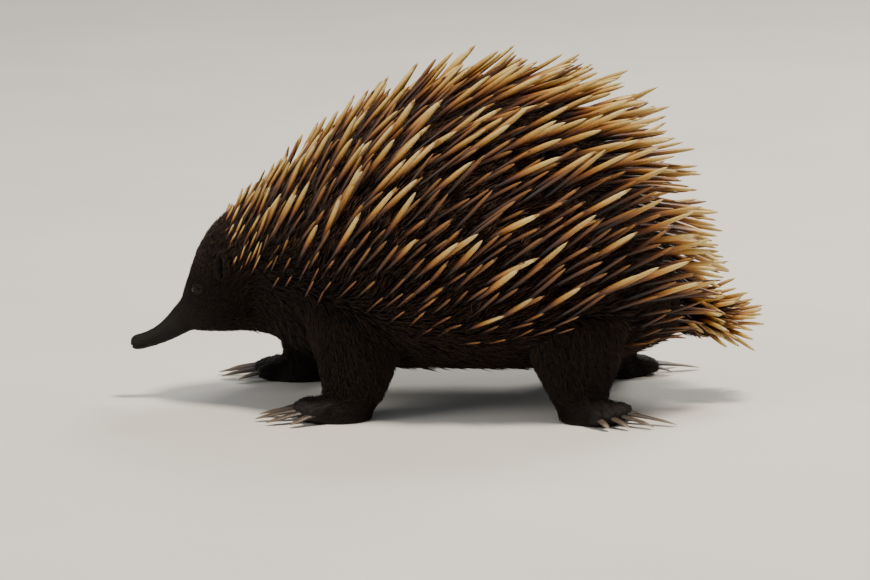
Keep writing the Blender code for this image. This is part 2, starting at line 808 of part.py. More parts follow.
def grow_coat(model, cutters):
    """The spines of every node that carries them."""
    draw = random.Random(SPINE_SEED)
    trees = {obj.name: node_tree(obj) for obj in model.objects}
    placed = []
    spines = body_spines(model, trees, placed, draw)
    spines["tail"] = tail_spines(trees, placed, draw)
    for name, rows in spines.items():
        fuse_spines(model.objects[name], rows, cutters, draw)


def centre_on_origin(objects):
    """Moves the model so that its box is centred on the origin, seen from above."""
    corners = np.array([vert.co for obj in objects for vert in obj.data.vertices])
    middle = (corners.min(axis=0) + corners.max(axis=0)) / 2
    for obj in objects:
        obj.data.transform(Matrix.Translation((-middle[0], -middle[1], 0)))


def main():
    clear_scene()
    model = new_collection("echidna")
    cutters = new_collection("cutters", shown=False)
    materials = {name: make_material(name) for name in COLOURS}
    body = make_body(model, materials)
    make_bill(model, cutters, materials)
    for side in ("left", "right"):
        make_eye(side, body["head"], model, cutters, materials)
        make_ear(side, body["head"], model, cutters, materials)
    keep_largest(body["head"])
    tail = make_tail(model, materials)
    cut_clear_of(tail, body["rump"], cutters)
    neighbours = {"fore": ("shoulders", "trunk"), "hind": ("rump", "trunk")}
    for pair in ("fore", "hind"):
        for side in ("left", "right"):
            make_leg(pair, side, [body[name] for name in neighbours[pair]], model, cutters, materials)
            make_foot(pair, side, model, cutters, materials)
    grow_coat(model, cutters)
    bpy.data.collections.remove(cutters)
    centre_on_origin(list(model.objects))


main()
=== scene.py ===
import math
from functools import partial

import bmesh
import bpy
import numpy as np
from mathutils import Matrix, Vector, noise
from mathutils.bvhtree import BVHTree
from mathutils.kdtree import KDTree


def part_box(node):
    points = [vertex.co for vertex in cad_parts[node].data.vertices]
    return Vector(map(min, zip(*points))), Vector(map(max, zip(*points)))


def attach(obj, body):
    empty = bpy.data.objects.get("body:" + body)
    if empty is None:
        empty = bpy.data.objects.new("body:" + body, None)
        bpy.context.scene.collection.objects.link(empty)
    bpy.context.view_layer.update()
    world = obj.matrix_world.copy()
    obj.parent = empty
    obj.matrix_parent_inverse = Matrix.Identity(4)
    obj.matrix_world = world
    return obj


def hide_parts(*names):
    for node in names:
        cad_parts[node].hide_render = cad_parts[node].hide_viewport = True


# Short-beaked echidna, life size: one skin with its folds, dark fur, banded spines,
# claws, eyes and ears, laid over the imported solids. The nose points to -X.

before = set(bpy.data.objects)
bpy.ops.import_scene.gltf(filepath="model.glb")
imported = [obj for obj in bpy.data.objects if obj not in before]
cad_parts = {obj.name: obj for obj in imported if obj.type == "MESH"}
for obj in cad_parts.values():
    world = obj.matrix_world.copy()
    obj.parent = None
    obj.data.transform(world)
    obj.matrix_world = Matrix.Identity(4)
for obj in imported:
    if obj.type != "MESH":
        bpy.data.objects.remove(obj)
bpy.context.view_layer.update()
mm = 0.001
rearward, aside, upward = Vector((1, 0, 0)), Vector((0, 1, 0)), Vector((0, 0, 1))
bothSides = ("left", "right")
limbs = [(pair, side) for pair in ("fore", "hind") for side in bothSides]
print("frame loaded,", len(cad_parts), "nodes")


# Colours and material nodes

def hexColour(text):
    parts = [int(text[i:i + 2], 16) / 255 for i in (1, 3, 5)]
    linear = [p / 12.92 if p <= 0.04045 else ((p + 0.055) / 1.055) ** 2.4 for p in parts]
    return (*linear, 1.0)


def setInputs(node, inputs):  # a socket is linked, any other value is set on the input itself
    for name, value in inputs.items():
        if isinstance(value, bpy.types.NodeSocket):
            node.id_data.links.new(value, node.inputs[name])
        else:
            node.inputs[name].default_value = value


def addNode(tree, kind, inputs=None, output=None, stops=(), **settings):
    # Returns the named output, or else the first that the node's settings leave in use.
    node = tree.nodes.new("ShaderNode" + kind)
    for name, value in settings.items():
        setattr(node, name, value)
    setInputs(node, inputs or {})
    if stops:  # of a colour ramp
        elements = node.color_ramp.elements
        while len(elements) < len(stops):
            elements.new(0.5)
        for element, (at, colour) in zip(elements, stops):
            element.position = at
            element.color = hexColour(colour)
    return node.outputs[output] if output else next(out for out in node.outputs if out.enabled)


def newMaterial(name, inputs, *attributes):
    # Returns what adds nodes to it, too, and a socket for each attribute that it reads.
    material = bpy.data.materials.new(name)
    material.use_nodes = True
    add = partial(addNode, material.node_tree)
    shader = material.node_tree.nodes["Principled BSDF"]
    setInputs(shader, inputs)
    return material, add, shader, *(add("Attribute", output="Fac", attribute_name=a) for a in attributes)


def perMetre(millimetres):
    return 1 / (millimetres * mm)  # texture scale that gives a pattern of this size


# The body's own shape, as in the solids

bodyShape = {
    # section: top x, top z, low x, low z, half width, in millimetres
    "billRoot": (-166, 65.5, -158, 44.5, 10),
    "face": (-161, 80.5, -149, 44, 15.5),
    "brow": (-152.5, 101, -138, 45, 24.5),
    "crown": (-138.5, 118.5, -125, 46, 32),
    "nape": (-117, 131.5, -110, 43.5, 41.8),
    "neck": (-95, 149, -92, 35, 55),
    "shoulder": (-62, 171, -62, 27, 75),
    "withers": (-22, 192, -22, 25, 89),
    "back": (22, 202, 22, 25, 95),
    "loin": (62, 199.5, 62, 25, 93.5),
    "croup": (98, 176, 98, 28, 84),
    "rump": (128, 138, 128, 34, 66),
    "tailRoot": (149, 99, 149, 42, 41),
    "vent": (160, 74, 160, 50, 15),
}
sectionAt = {name: i for i, name in enumerate(bodyShape)}
sectionRows = np.array(list(bodyShape.values()), float) * mm
lastSection = len(sectionRows) - 1
shift = np.zeros(3)  # from the solids' own drawing to the frame, found from the eyes


def smoothStep(value, low, high):
    share = np.clip((np.asarray(value, float) - low) / (high - low), 0, 1)
    return share * share * (3 - 2 * share)


def splineAt(rows, at):  # Catmull-Rom curve through the rows
    last = len(rows) - 1
    at = np.asarray(at, float)
    i = np.clip(at.astype(int), 0, last - 1)
    t = (at - i)[..., None]
    a, b, c, d = (rows[np.clip(k, 0, last)] for k in (i - 1, i, i + 1, i + 2))
    cubic = (3 * b - a - 3 * c + d) * t**3
    return 0.5 * (2 * b + (c - a) * t + (2 * a - 5 * b + 4 * c - d) * t**2 + cubic)


def unit(vectors):
    return vectors / np.maximum(np.linalg.norm(vectors, axis=-1, keepdims=True), 1e-9)


def bodyPoints(section, degrees):  # degrees run round a section, with 90 on the top line
    section, degrees = np.broadcast_arrays(np.asarray(section, float), np.asarray(degrees, float))
    topX, topZ, lowX, lowZ, halfWidth = np.moveaxis(splineAt(sectionRows, section), -1, 0)
    trunkShare = smoothStep(section, sectionAt["crown"], sectionAt["shoulder"])
    widest = 0.50 - 0.08 * trunkShare  # where the section is widest, as a share of its height
    across, along = np.cos(np.radians(degrees)), np.sin(np.radians(degrees))
    squareness = 2 + (np.where(along > 0, 2.15, 2.7) - 2) * trunkShare
    rise = np.sign(along) * np.abs(along) ** (2 / squareness)
    out = np.sign(across) * np.abs(across) ** (2 / squareness)
    height = widest + np.where(along > 0, 1 - widest, widest) * rise
    x, z = lowX + (topX - lowX) * height, lowZ + (topZ - lowZ) * height
    return np.stack([x, halfWidth * out, z], axis=-1) + shift


def bodyNormals(section, degrees):
    after = bodyPoints(np.minimum(section + 0.05, lastSection), degrees)
    along = after - bodyPoints(np.maximum(section - 0.05, 0), degrees)
    around = bodyPoints(section, degrees + 1) - bodyPoints(section, degrees - 1)
    return unit(np.cross(around, along))


def surfaceFrame(shape, side):  # middle of an eye or ear, the way it faces, and its back and up
    degrees = 180 - shape["degrees"] if side == "left" else shape["degrees"]
    point = Vector(bodyPoints(shape["section"], degrees))
    normal = Vector(bodyNormals(np.array(shape["section"]), np.array(degrees)))
    back = (rearward - normal * normal.x).normalized()
    up = back.cross(normal)
    if up.z < 0:
        up.negate()
    return point - normal * shape["sunk"], normal, back, up


eyeShape = {
    "section": 1.30,
    "degrees": 26,
    "radius": 4.0 * mm,
    "sunk": 1.8 * mm,  # depth of its middle under the surface
    "cornea": (0.72, 0.35 * mm),  # where it starts, as a share of the radius, and how far it stands out
    "opening": (3.3 * mm, 2.5 * mm),  # half sizes of the gap between the lids
    "pit": (5.2 * mm, 4.6 * mm),  # half sizes of the pit in the skin behind it
    # reach from the opening's edge and height over the ball, in millimetres: the folds of the lids
    "lidRings": ((0, -0.5), (0, 0.25), (0.3, 0.72), (0.7, 0.9), (1.05, 0.66), (1.4, 0.86), (1.8, 0.54),
                 (2.2, 0.66), (2.6, 0.3), (3.0, 0.42), (3.5, 0.05), (4.6, -0.9)),
    "lidSides": 48,
    "lidHeights": (1.15, 0.9),  # of the upper and lower lid, against their length
    "lidEdge": 0.92,  # share of the radius past which they leave the ball and run down to the cheek
    "creases": (7, 1.9, 0.14 * mm),  # number round the eye, slant and height
    "corner": 0.9 * mm,  # how far the corners are drawn out
    "wall": 0.3 * mm,
    "bareness": 0.15,
    "bareInside": (4.7 * mm, 3.6 * mm),  # half sizes of the part without fur
    # length, tufts a square millimetre, width, lift, brownness, bareness, as in the fur's field
    "hair": (2.4 * mm, 3.2, 0.30 * mm, 12, 0.12, 0.5),
    "hairWay": (1.0, 0.15),  # backwards and up
}
eyeLow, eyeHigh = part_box("eye_left")
shift = np.array((eyeLow + eyeHigh) / 2 - surfaceFrame(eyeShape, "left")[0]) * (1, 1, 0)
print("body lies", [round(float(v) * 1000, 1) for v in shift], "mm from its drawing")


# Pieces, and meshes from rings of points

def addTube(bm, rings, closeStart=True, closeEnd=True):
    loops = []
    for points in rings:
        loops.append(bmesh.ops.create_circle(bm, segments=len(points), radius=1)["verts"])
        for vert, point in zip(loops[-1], points):
            vert.co = point
    edgeSets = [list({edge for vert in loop for edge in vert.link_edges}) for loop in loops]
    for first, second in zip(edgeSets, edgeSets[1:]):
        bmesh.ops.bridge_loops(bm, edges=first + second)
    if closeStart:
        bmesh.ops.contextual_create(bm, geom=loops[0])
    if closeEnd:
        bmesh.ops.contextual_create(bm, geom=loops[-1])
    bmesh.ops.recalc_face_normals(bm, faces=bm.faces)


def turnsOf(sides):
    return [2 * math.pi * k / sides for k in range(sides)]


def ellipse(centre, across, up, halfWidth, halfHeight, sides):
    return [centre + across * (halfWidth * math.cos(turn)) + up * (halfHeight * math.sin(turn))
            for turn in turnsOf(sides)]


def addObject(name, data):
    added = bpy.data.objects.new(name, data)
    bpy.context.scene.collection.objects.link(added)
    return added


def newPiece(name, bm, material=None):
    mesh = bpy.data.meshes.new(name)
    bm.to_mesh(mesh)
    bm.free()
    if material:
        mesh.materials.append(material)
    mesh.shade_smooth()
    return addObject(name, mesh)


def applyModifiers(piece, stack):
    for kind, settings in stack.items():
        modifier = piece.modifiers.new(kind.lower(), kind)
        for name, value in settings.items():
            setattr(modifier, name, value)
    bpy.context.view_layer.update()
    graph = bpy.context.evaluated_depsgraph_get()
    mesh = bpy.data.meshes.new_from_object(piece.evaluated_get(graph))
    piece.modifiers.clear()
    piece.data = mesh


def copyInto(bm, other):
    mesh = bpy.data.meshes.new("part")
    other.to_mesh(mesh)
    other.free()
    bm.from_mesh(mesh)
    bpy.data.meshes.remove(mesh)


# The flesh: closed shapes that the skin is drawn over

fleshShape = {
    "sides": 48,
    "bodyStep": 0.34,  # between rings, in sections
    "insetHead": 0.7 * mm,  # how deep the skin lies under the solids: the coat's depth
    "insetBody": 4.5 * mm,
    "insetLimb": 2.2 * mm,
    "insetFoot": 0.4 * mm,
    "billTip": Vector((-198.5, 0, 36)) * mm,
    # share of the bill's length, half height, half width in millimetres
    "billRings": ((0.12, 9.1, 8.6), (0.30, 7.7, 7.1), (0.52, 6.3, 6.0), (0.76, 5.5, 5.5),
                  (0.90, 5.3, 5.6), (0.97, 4.4, 4.9), (1.00, 2.6, 3.0)),
    "billRoot": ((-0.25, 9.4, 10.5), (0.0, 9.8, 9.5)),  # the same, on the straight line inside the head
    "billSides": 28,
    "billSteps": 22,
    "billBow": 3.6 * mm,  # how far its middle hangs below the straight line from root to tip
    "tailRoot": Vector((150, 0, 62)) * mm,
    "tailTip": Vector((184, 0, 47)) * mm,
    "tailRings": ((0.0, 14.0), (0.35, 13.0), (0.7, 9.6), (0.92, 5.6), (1.0, 2.6)),
    "tailFlatness": 0.85,
    "tailSides": 24,
    "tailSteps": 12,
}
legShape = {
    # x, y outwards, z, radius along x, radius along y, in millimetres
    "fore": ((-60, 44, 84, 30, 20), (-57, 60, 56, 29, 21), (-55, 67, 34, 25, 20), (-57, 70, 15.3, 20, 18)),
    "hind": ((84, 42, 92, 38, 24), (90, 62, 62, 36, 24), (95, 72, 36, 28, 21), (96, 76, 15.3, 18.5, 16.5)),
    "stride": {("fore", "left"): 4, ("fore", "right"): -24, ("hind", "left"): -6, ("hind", "right"): 16},
    "rings": 9,
    "sides": 24,
}
footShape = {
    # sizes in millimetres, and the way the toes point in degrees
    "fore": {"yaw": 10, "halfLength": 23, "halfWidth": 20, "spread": 16.5, "clawWidth": 7.2,
             "claws": (14, 23, 26, 23, 14)},
    "hind": {"yaw": 146, "halfLength": 21, "halfWidth": 17, "spread": 14.5, "clawWidth": 6.0,
             "claws": (10, 33, 24, 15, 10)},
    "heel": 11,  # behind the ankle
    "toeHeight": 5.4,
    "toeBack": 4,  # from the foot's edge to a toe's middle
    "toeArc": 0.22,  # how far back the outer toes lie, of the half length
    "toeFan": math.radians(26),
    "ankle": 15 * mm,
    "below": 3 * mm,  # the flesh reaches under the floor here, and is pressed flat on it
    # middle and radii of the balls that make a toe, with -X to its tip, in millimetres
    "toeBalls": (((0, 0, 0.2), (8.4, 4.9, 5.6)), ((-4.2, 0, 0.3), (4.3, 4.7, 4.4)),
                 ((9, 0, 2.8), (8, 3.7, 4.0))),
    "toeSkin": (3 * mm, 16 * mm, 8 * mm),  # middle, half length and half width of what a toe shapes
    "toeRelief": 1.9 * mm,  # from the groove between two toes to the ridge of each
    "toeHalfWidth": 2.5 * mm,
    "toeSpan": (-9 * mm, -5 * mm, 8 * mm, 17 * mm),  # the ridge starts, is whole, fades and ends
    "toeTop": (-4 * mm, 0.5 * mm),  # heights between which the ridge comes up
    # place, half width, reach to each side and height of the fold of skin round each claw's root
    "clawFold": (-6.4 * mm, 1.0 * mm, 5 * mm, 0.7 * mm),
}


def bodyInset(section):
    deep = smoothStep(section, sectionAt["brow"], sectionAt["neck"])
    return fleshShape["insetHead"] + (fleshShape["insetBody"] - fleshShape["insetHead"]) * deep


def bodyFlesh(bm):
    degrees = np.arange(fleshShape["sides"]) * 360 / fleshShape["sides"]
    rings = []
    for section in np.linspace(0, lastSection, int(lastSection / fleshShape["bodyStep"]) + 1):
        sections = np.full(len(degrees), section)
        points = bodyPoints(sections, degrees) - bodyNormals(sections, degrees) * bodyInset(section)
        rings.append(points.tolist())
    addTube(bm, rings)


def squareUp(axis):  # upwards in the animal's middle plane, square to the axis
    up = Vector((-axis.z, 0, axis.x)).normalized()
    if up.z < 0:
        up.negate()
    return up


def billAxes():
    topX, topZ, lowX, lowZ, _ = sectionRows[0]
    root = Vector(((topX + lowX) / 2, 0, (topZ + lowZ) / 2)) + Vector(shift)
    axis = fleshShape["billTip"] + Vector(shift) - root
    return root, axis, squareUp(axis)


def billPlace(share):  # a point on the bowed midline, the way it runs there and its up direction
    root, axis, up = billAxes()
    bow = fleshShape["billBow"]
    centre = root + axis * share - up * (4 * bow * share * (1 - share))
    forward = (axis - up * (4 * bow * (1 - 2 * share))).normalized()
    return centre, forward, Vector((forward.z, 0, -forward.x))


def billFlesh(bm):
    root, axis, up = billAxes()
    rows = np.array(fleshShape["billRings"])
    sides = fleshShape["billSides"]
    rings = [ellipse(root + axis * share, aside, up, halfWidth * mm, halfHeight * mm, sides)
             for share, halfHeight, halfWidth in fleshShape["billRoot"]]
    for at in np.linspace(0, len(rows) - 1, fleshShape["billSteps"]):
        share, halfHeight, halfWidth = splineAt(rows, at)
        centre, _, up = billPlace(share)
        rings.append(ellipse(centre, aside, up, halfWidth * mm, halfHeight * mm, sides))
    addTube(bm, rings)


def tailFlesh(bm):
    root, tip = (fleshShape[end] + Vector(shift) for end in ("tailRoot", "tailTip"))
    axis = tip - root
    rows = np.array(fleshShape["tailRings"])
    sides = fleshShape["tailSides"]
    rings = []
    for at in np.linspace(0, len(rows) - 1, fleshShape["tailSteps"]):
        share, radius = splineAt(rows, at)
        high = radius * mm * fleshShape["tailFlatness"]
        rings.append(ellipse(root + axis * share, aside, squareUp(axis), radius * mm, high, sides))
    addTube(bm, rings)


def outwardWay(side):
    return -1 if side == "left" else 1


def legCentre(pair, side, at):
    x, y, z, radiusX, radiusY = splineAt(np.array(legShape[pair], float) * mm, at)
    centre = Vector((x + legShape["stride"][pair, side] * mm, y * outwardWay(side), z)) + Vector(shift)
    return centre, radiusX, radiusY


def legFlesh(bm, pair, side):
    rings = []
    for at in np.linspace(0, len(legShape[pair]) - 1, legShape["rings"]):
        centre, radiusX, radiusY = legCentre(pair, side, at)
        inset = fleshShape["insetLimb"]
        rings.append(ellipse(centre, rearward, aside, radiusX - inset, radiusY - inset, legShape["sides"]))
    addTube(bm, rings)


def footPlace(pair, side):  # where the foot stands, with -X of the foot towards its toes
    ankle, radiusX, radiusY = legCentre(pair, side, len(legShape[pair]) - 1)
    yaw = math.radians(footShape[pair]["yaw"]) * outwardWay(side)
    place = Matrix.Translation((ankle.x, ankle.y, 0)) @ Matrix.Rotation(-yaw, 4, "Z")
    return place, yaw, radiusX, radiusY


def toePlaces(pair, side):
    size = footShape[pair]
    place, *_ = footPlace(pair, side)
    heelShift = -(size["halfLength"] - footShape["heel"])
    digits = []
    for i, clawLength in enumerate(size["claws"]):
        across = (i / 2 - 1) * outwardWay(side) * (-1 if pair == "hind" else 1)
        reach = size["halfLength"] * (1 - footShape["toeArc"] * across**2)
        x = heelShift - reach + footShape["toeBack"]
        base = Vector((x, size["spread"] * across, footShape["toeHeight"])) * mm
        turn = Matrix.Rotation(-footShape["toeFan"] * across, 4, "Z")
        digits.append((place @ Matrix.Translation(base) @ turn, clawLength * mm))
    return digits


def footFlesh(bm, pair, side):
    place, yaw, radiusX, radiusY = footPlace(pair, side)
    halfLength, halfWidth = footShape[pair]["halfLength"] * mm, footShape[pair]["halfWidth"] * mm
    inset, footInset = fleshShape["insetLimb"], fleshShape["insetFoot"]
    heelShift = -(halfLength - footShape["heel"] * mm)
    untwist = Matrix.Rotation(yaw, 4, "Z")
    rings = []
    for share in (-0.25, 0.0, 0.25, 0.5, 0.8, 1.0, 1.0 + footShape["below"] / footShape["ankle"]):
        grown = float(smoothStep(share, 0, 0.75))
        centre = Vector((heelShift * grown, 0, footShape["ankle"] * (1 - share)))
        axes = (untwist @ rearward, untwist @ aside) if share <= 0 else (rearward, aside)
        long = radiusX - inset + (halfLength - footInset - radiusX + inset) * grown
        wide = radiusY - inset + (halfWidth - footInset - radiusY + inset) * grown
        rings.append(ellipse(centre, *axes, long, wide, legShape["sides"]))
    foot = bmesh.new()
    addTube(foot, rings)
    bmesh.ops.transform(foot, matrix=place, verts=foot.verts)
    copyInto(bm, foot)
    for toe, _ in toePlaces(pair, side):
        for at, radii in footShape["toeBalls"]:
            ball = bmesh.ops.create_uvsphere(bm, u_segments=16, v_segments=10, radius=1)["verts"]
            shape = Matrix.Translation(Vector(at) * mm) @ Matrix.Diagonal((*(r * mm for r in radii), 1))
            bmesh.ops.transform(bm, matrix=toe @ shape, verts=ball)


fleshParts = {"body": (bodyFlesh,), "bill": (billFlesh,), "tail": (tailFlesh,)}
for limb in limbs:
    fleshParts["{}leg_{}".format(*limb)] = (legFlesh, *limb)
    fleshParts["{}foot_{}".format(*limb)] = (footFlesh, *limb)

skinShape = {
    "voxel": 2.05 * mm,
    "smoothing": 6,
    "fineBefore": sectionRows[sectionAt["crown"]][0] + 2 * mm,  # x where the finer mesh of the head ends
    "finestBefore": -184 * mm,  # x where the finest mesh of the bill's tip ends
    "footHeight": 20 * mm,
    "fineSmoothing": 3,
    "pitDepth": 4.5 * mm,  # of the pits behind eyes and ears
    "pitReach": (14 * mm, 2 * mm),  # across and inwards, past which they leave the skin alone
    "pitSide": (0.8, 1.25),  # shares of its size where a pit's side starts and ends
}
billTipShape = {
    "mouthEnd": (10 * mm, 13 * mm),  # from the tip, where the mouth's line starts to fade and ends
    "mouthDrop": 1.6 * mm,  # below the middle line
    "slit": (0.55 * mm, 0.75 * mm),  # half width and depth of the mouth's line
    "lip": (1.3 * mm, 0.6 * mm, 0.18 * mm),  # distance from the slit, half width and height
    "nostrilBack": 5.5 * mm,  # from the tip along the bill
    "nostrilApart": 1.9 * mm,
    "nostrilAbove": 2 * mm,
    "nostril": (1.5 * mm, 0.65 * mm, 1.3 * mm),  # half length, half width and depth
    "rim": (2.6 * mm, 1.5 * mm, 0.45 * mm),  # the same, with its height, of the swelling round it
}


def buildSkin():
    whole = bmesh.new()
    trees = {}
    for name, (build, *limb) in fleshParts.items():
        part = bmesh.new()
        build(part, *limb)
        trees[name] = BVHTree.FromBMesh(part)
        copyInto(whole, part)
    skin = newPiece("hide", whole)
    applyModifiers(skin, {
        "REMESH": {"mode": "VOXEL", "voxel_size": skinShape["voxel"]},
        "SMOOTH": {"factor": 0.5, "iterations": skinShape["smoothing"]},
    })
    refineSkin(skin)
    return skin, trees


def subdivideWhere(bm, test):
    chosen = [face for face in bm.faces if test(face.calc_center_median())]
    edges = list({edge for face in chosen for edge in face.edges})
    bmesh.ops.subdivide_edges(bm, edges=edges, cuts=1, use_grid_fill=True)


def refineSkin(skin):
    bm = bmesh.new()
    bm.from_mesh(skin.data)
    headEnd = skinShape["fineBefore"] + shift[0]
    billEnd = skinShape["finestBefore"] + shift[0]
    subdivideWhere(bm, lambda c: c.x < headEnd or c.z < skinShape["footHeight"])
    subdivideWhere(bm, lambda c: c.x < billEnd)
    near = [vert for vert in bm.verts if vert.co.x < headEnd or vert.co.z < skinShape["footHeight"]]
    for _ in range(skinShape["fineSmoothing"]):
        bmesh.ops.smooth_vert(bm, verts=near, factor=0.5, use_axis_x=True, use_axis_y=True, use_axis_z=True)
    bmesh.ops.triangulate(bm, faces=bm.faces)
    bm.normal_update()
    carveBillTip(bm, billEnd)
    shapeToes(bm)
    for side in bothSides:
        for shape in (eyeShape, earShape):
            sinkRound(bm, *surfaceFrame(shape, side), shape["pit"])
    for vert in bm.verts:
        vert.co.z = max(vert.co.z, 0)
    bm.to_mesh(skin.data)
    bm.free()
    skin.data.shade_smooth()


def hump(away, wide, across=0, broad=1):  # 1 in the middle, fading out smoothly all round
    return math.exp(-(away / wide) ** 2 - (across / broad) ** 2)


def carveBillTip(bm, billEnd):  # nostril slits above, the line of the mouth below
    tip, forward, up = billPlace(1)
    slitWide, slitDeep = billTipShape["slit"]
    lipOut, lipWide, lipHigh = billTipShape["lip"]
    pitLong, pitWide, pitDeep = billTipShape["nostril"]
    rimLong, rimWide, rimHigh = billTipShape["rim"]
    for vert in [vert for vert in bm.verts if vert.co.x < billEnd]:
        away = vert.co - tip
        back, height = -away.dot(forward), away.dot(up)
        inMouth = 1 - float(smoothStep(back, *billTipShape["mouthEnd"]))
        overMouth = height + billTipShape["mouthDrop"]
        slit = hump(overMouth, slitWide) * inMouth
        lip = hump(abs(overMouth) - lipOut, lipWide) * inMouth
        behind = back - billTipShape["nostrilBack"]
        beside = abs(away.y) - billTipShape["nostrilApart"]
        above = float(height > billTipShape["nostrilAbove"])
        pit = hump(behind, pitLong, beside, pitWide) * above
        rim = hump(behind, rimLong, beside, rimWide) * above
        vert.co -= vert.normal * (slitDeep * slit - lipHigh * lip + pitDeep * pit - rimHigh * rim)


def shapeToes(bm):
    # Ridges over the toes with grooves between, and a fold of skin round each claw's root.
    relief = footShape["toeRelief"]
    middle, halfLength, halfWidth = footShape["toeSkin"]
    starts, whole, fades, ends = footShape["toeSpan"]
    foldAt, foldWide, foldReach, foldHigh = footShape["clawFold"]
    lowVerts = [vert for vert in bm.verts if vert.co.z < skinShape["footHeight"]]
    raised = {}
    for pair, side in limbs:
        for toe, _ in toePlaces(pair, side):
            inverse = toe.inverted()
            for vert in lowVerts:
                x, y, z = inverse @ vert.co
                if abs(x - middle) > halfLength or abs(y) > halfWidth:
                    continue
                span = float(smoothStep(x, starts, whole) * (1 - smoothStep(x, fades, ends)))
                onTop = float(smoothStep(z, *footShape["toeTop"]))
                ridge = relief * hump(y, footShape["toeHalfWidth"]) * span * onTop
                fold = foldHigh * hump(x - foldAt, foldWide)
                fold *= float(abs(y) < foldReach) * float(smoothStep(z, -3 * mm, 0))
                raised[vert] = raised.get(vert, -0.3 * relief * span) + ridge + fold
    for vert, height in raised.items():
        vert.co += vert.normal * height


def sinkRound(bm, centre, normal, back, up, reach):  # a pit in the skin behind lids or ear
    long, high = reach
    farthest, deepest = skinShape["pitReach"]
    for vert in bm.verts:
        away = vert.co - centre
        if away.length > farthest or away.dot(normal) < -deepest:
            continue
        spread = math.hypot(away.dot(back) / long, away.dot(up) / high)
        vert.co -= normal * skinShape["pitDepth"] * (1 - float(smoothStep(spread, *skinShape["pitSide"])))


earShape = {
    "section": 2.72,
    "degrees": 18,
    "sunk": 2.2 * mm,
    "pit": (2.6 * mm, 7.4 * mm),
    # half width, half height and height over the middle of the rim's rings, in millimetres
    "rings": ((5.2, 10.0, 1.0), (4.4, 9.2, 2.3), (3.7, 8.6, 3.1), (3.0, 8.0, 3.5), (2.4, 7.5, 3.3),
              (1.9, 7.0, 2.3), (1.6, 6.4, 0.4), (1.0, 5.0, -1.8)),
    "sides": 32,
    "rearHigher": 0.32,
    "lowerWider": 0.28,
    "wall": 0.5 * mm,
    "bareness": 0.35,
    "bareInside": (2.7 * mm, 8.0 * mm),
    "hair": (4.6 * mm, 1.5, 0.42 * mm, 22, 0.15, 0.3),
    "hairWay": (0.75, 0.8),
}


# Materials of the bare parts

def hideMaterial():
    # Living skin, dark and finely creased: black and leathery on the bill and feet, brown-black
    # where fur covers it. The creases give the bare parts a dull broken shine, and painted shade darkens the
    # colour in them.
    finish = {"Roughness": 0.5, "IOR": 1.42, "Specular IOR Level": 0.3}
    material, add, shader, bare = newMaterial("echidnaHide", finish, "bare")
    place = add("TexCoord", output="Object")
    mottle = add("TexNoise", {"Vector": place, "Scale": perMetre(9), "Detail": 5.0, "Roughness": 0.6})
    grit = add("TexNoise", {"Vector": place, "Scale": perMetre(0.5), "Detail": 4.0, "Roughness": 0.65})
    pores, creases = (
        add("TexVoronoi", {"Vector": place, "Scale": perMetre(size), "Randomness": uneven},
            feature="DISTANCE_TO_EDGE") for size, uneven in ((0.7, 1.0), (1.15, 0.95)))
    bareColour = add("ValToRGB", {"Fac": mottle},
                     stops=((0.3, "#0a0706"), (0.55, "#110d0b"), (0.75, "#1d1815")))
    underFur = add("ValToRGB", {"Fac": mottle}, stops=((0.35, "#0d0805"), (0.7, "#1b110a")))
    colour = add("Mix", {"Factor": bare, "A": underFur, "B": bareColour}, data_type="RGBA")
    crease = add("MapRange", {"Value": creases, "From Max": 0.12})
    pore = add("MapRange", {"Value": pores, "From Max": 0.2})
    # painted shade: the colour goes near-black down in the creases
    creaseShadedColour = add("Mix", {"Factor": crease, "A": hexColour("#0b0807"), "B": colour}, data_type="RGBA")
    rough = add("MapRange", {"Value": grit, "To Min": 0.5, "To Max": 0.8})
    deep = add("Bump", {"Height": crease, "Strength": 0.35, "Distance": 0.14 * mm})
    fine = add("Bump", {"Height": pore, "Strength": 0.5, "Distance": 0.12 * mm, "Normal": deep})
    grain = add("Bump", {"Height": grit, "Strength": 0.4, "Distance": 0.08 * mm, "Normal": fine})
    setInputs(shader, {"Base Color": creaseShadedColour, "Roughness": rough, "Normal": grain})
    return material


def clawMaterial():
    # Keratin horn, grown in layers and worn by digging: brown-grey, paler and scuffed to the
    # tip, with fine lines along it and a dull polish.
    material, add, shader, along = newMaterial("wornClawHorn", {"Roughness": 0.4, "IOR": 1.54}, "along")
    place = add("TexCoord", output="Object")
    around = add("UVMap", uv_map="around")
    stretched = add("Mapping", {"Vector": around, "Scale": (26.0, 2.2, 1.0)})
    lines = add("TexNoise", {"Vector": stretched, "Scale": 1.0, "Detail": 5.0, "Roughness": 0.6})
    soil = add("TexNoise", {"Vector": place, "Scale": perMetre(4), "Detail": 6.0, "Roughness": 0.7})
    length = add("ValToRGB", {"Fac": along},
                 stops=((0.0, "#17110d"), (0.35, "#31271f"), (0.75, "#504337"), (1.0, "#7f705c")))
    streak = add("MapRange",
                 {"Value": lines, "From Min": 0.3, "From Max": 0.7, "To Min": 0.7, "To Max": 1.15})
    colour = add("Mix", {"Factor": 1.0, "A": length, "B": streak}, data_type="RGBA", blend_type="MULTIPLY")
    dirt = add("MapRange", {"Value": soil, "From Min": 0.5, "From Max": 0.72, "To Max": 0.45})
    dirty = add("Mix", {"Factor": dirt, "A": colour, "B": hexColour("#5d4b38")}, data_type="RGBA")
    rough = add("MapRange", {"Value": soil, "To Min": 0.3, "To Max": 0.62})
    bump = add("Bump", {"Height": lines, "Strength": 0.5, "Distance": 0.25 * mm})
    setInputs(shader, {"Base Color": dirty, "Roughness": rough, "Normal": bump})
    return material


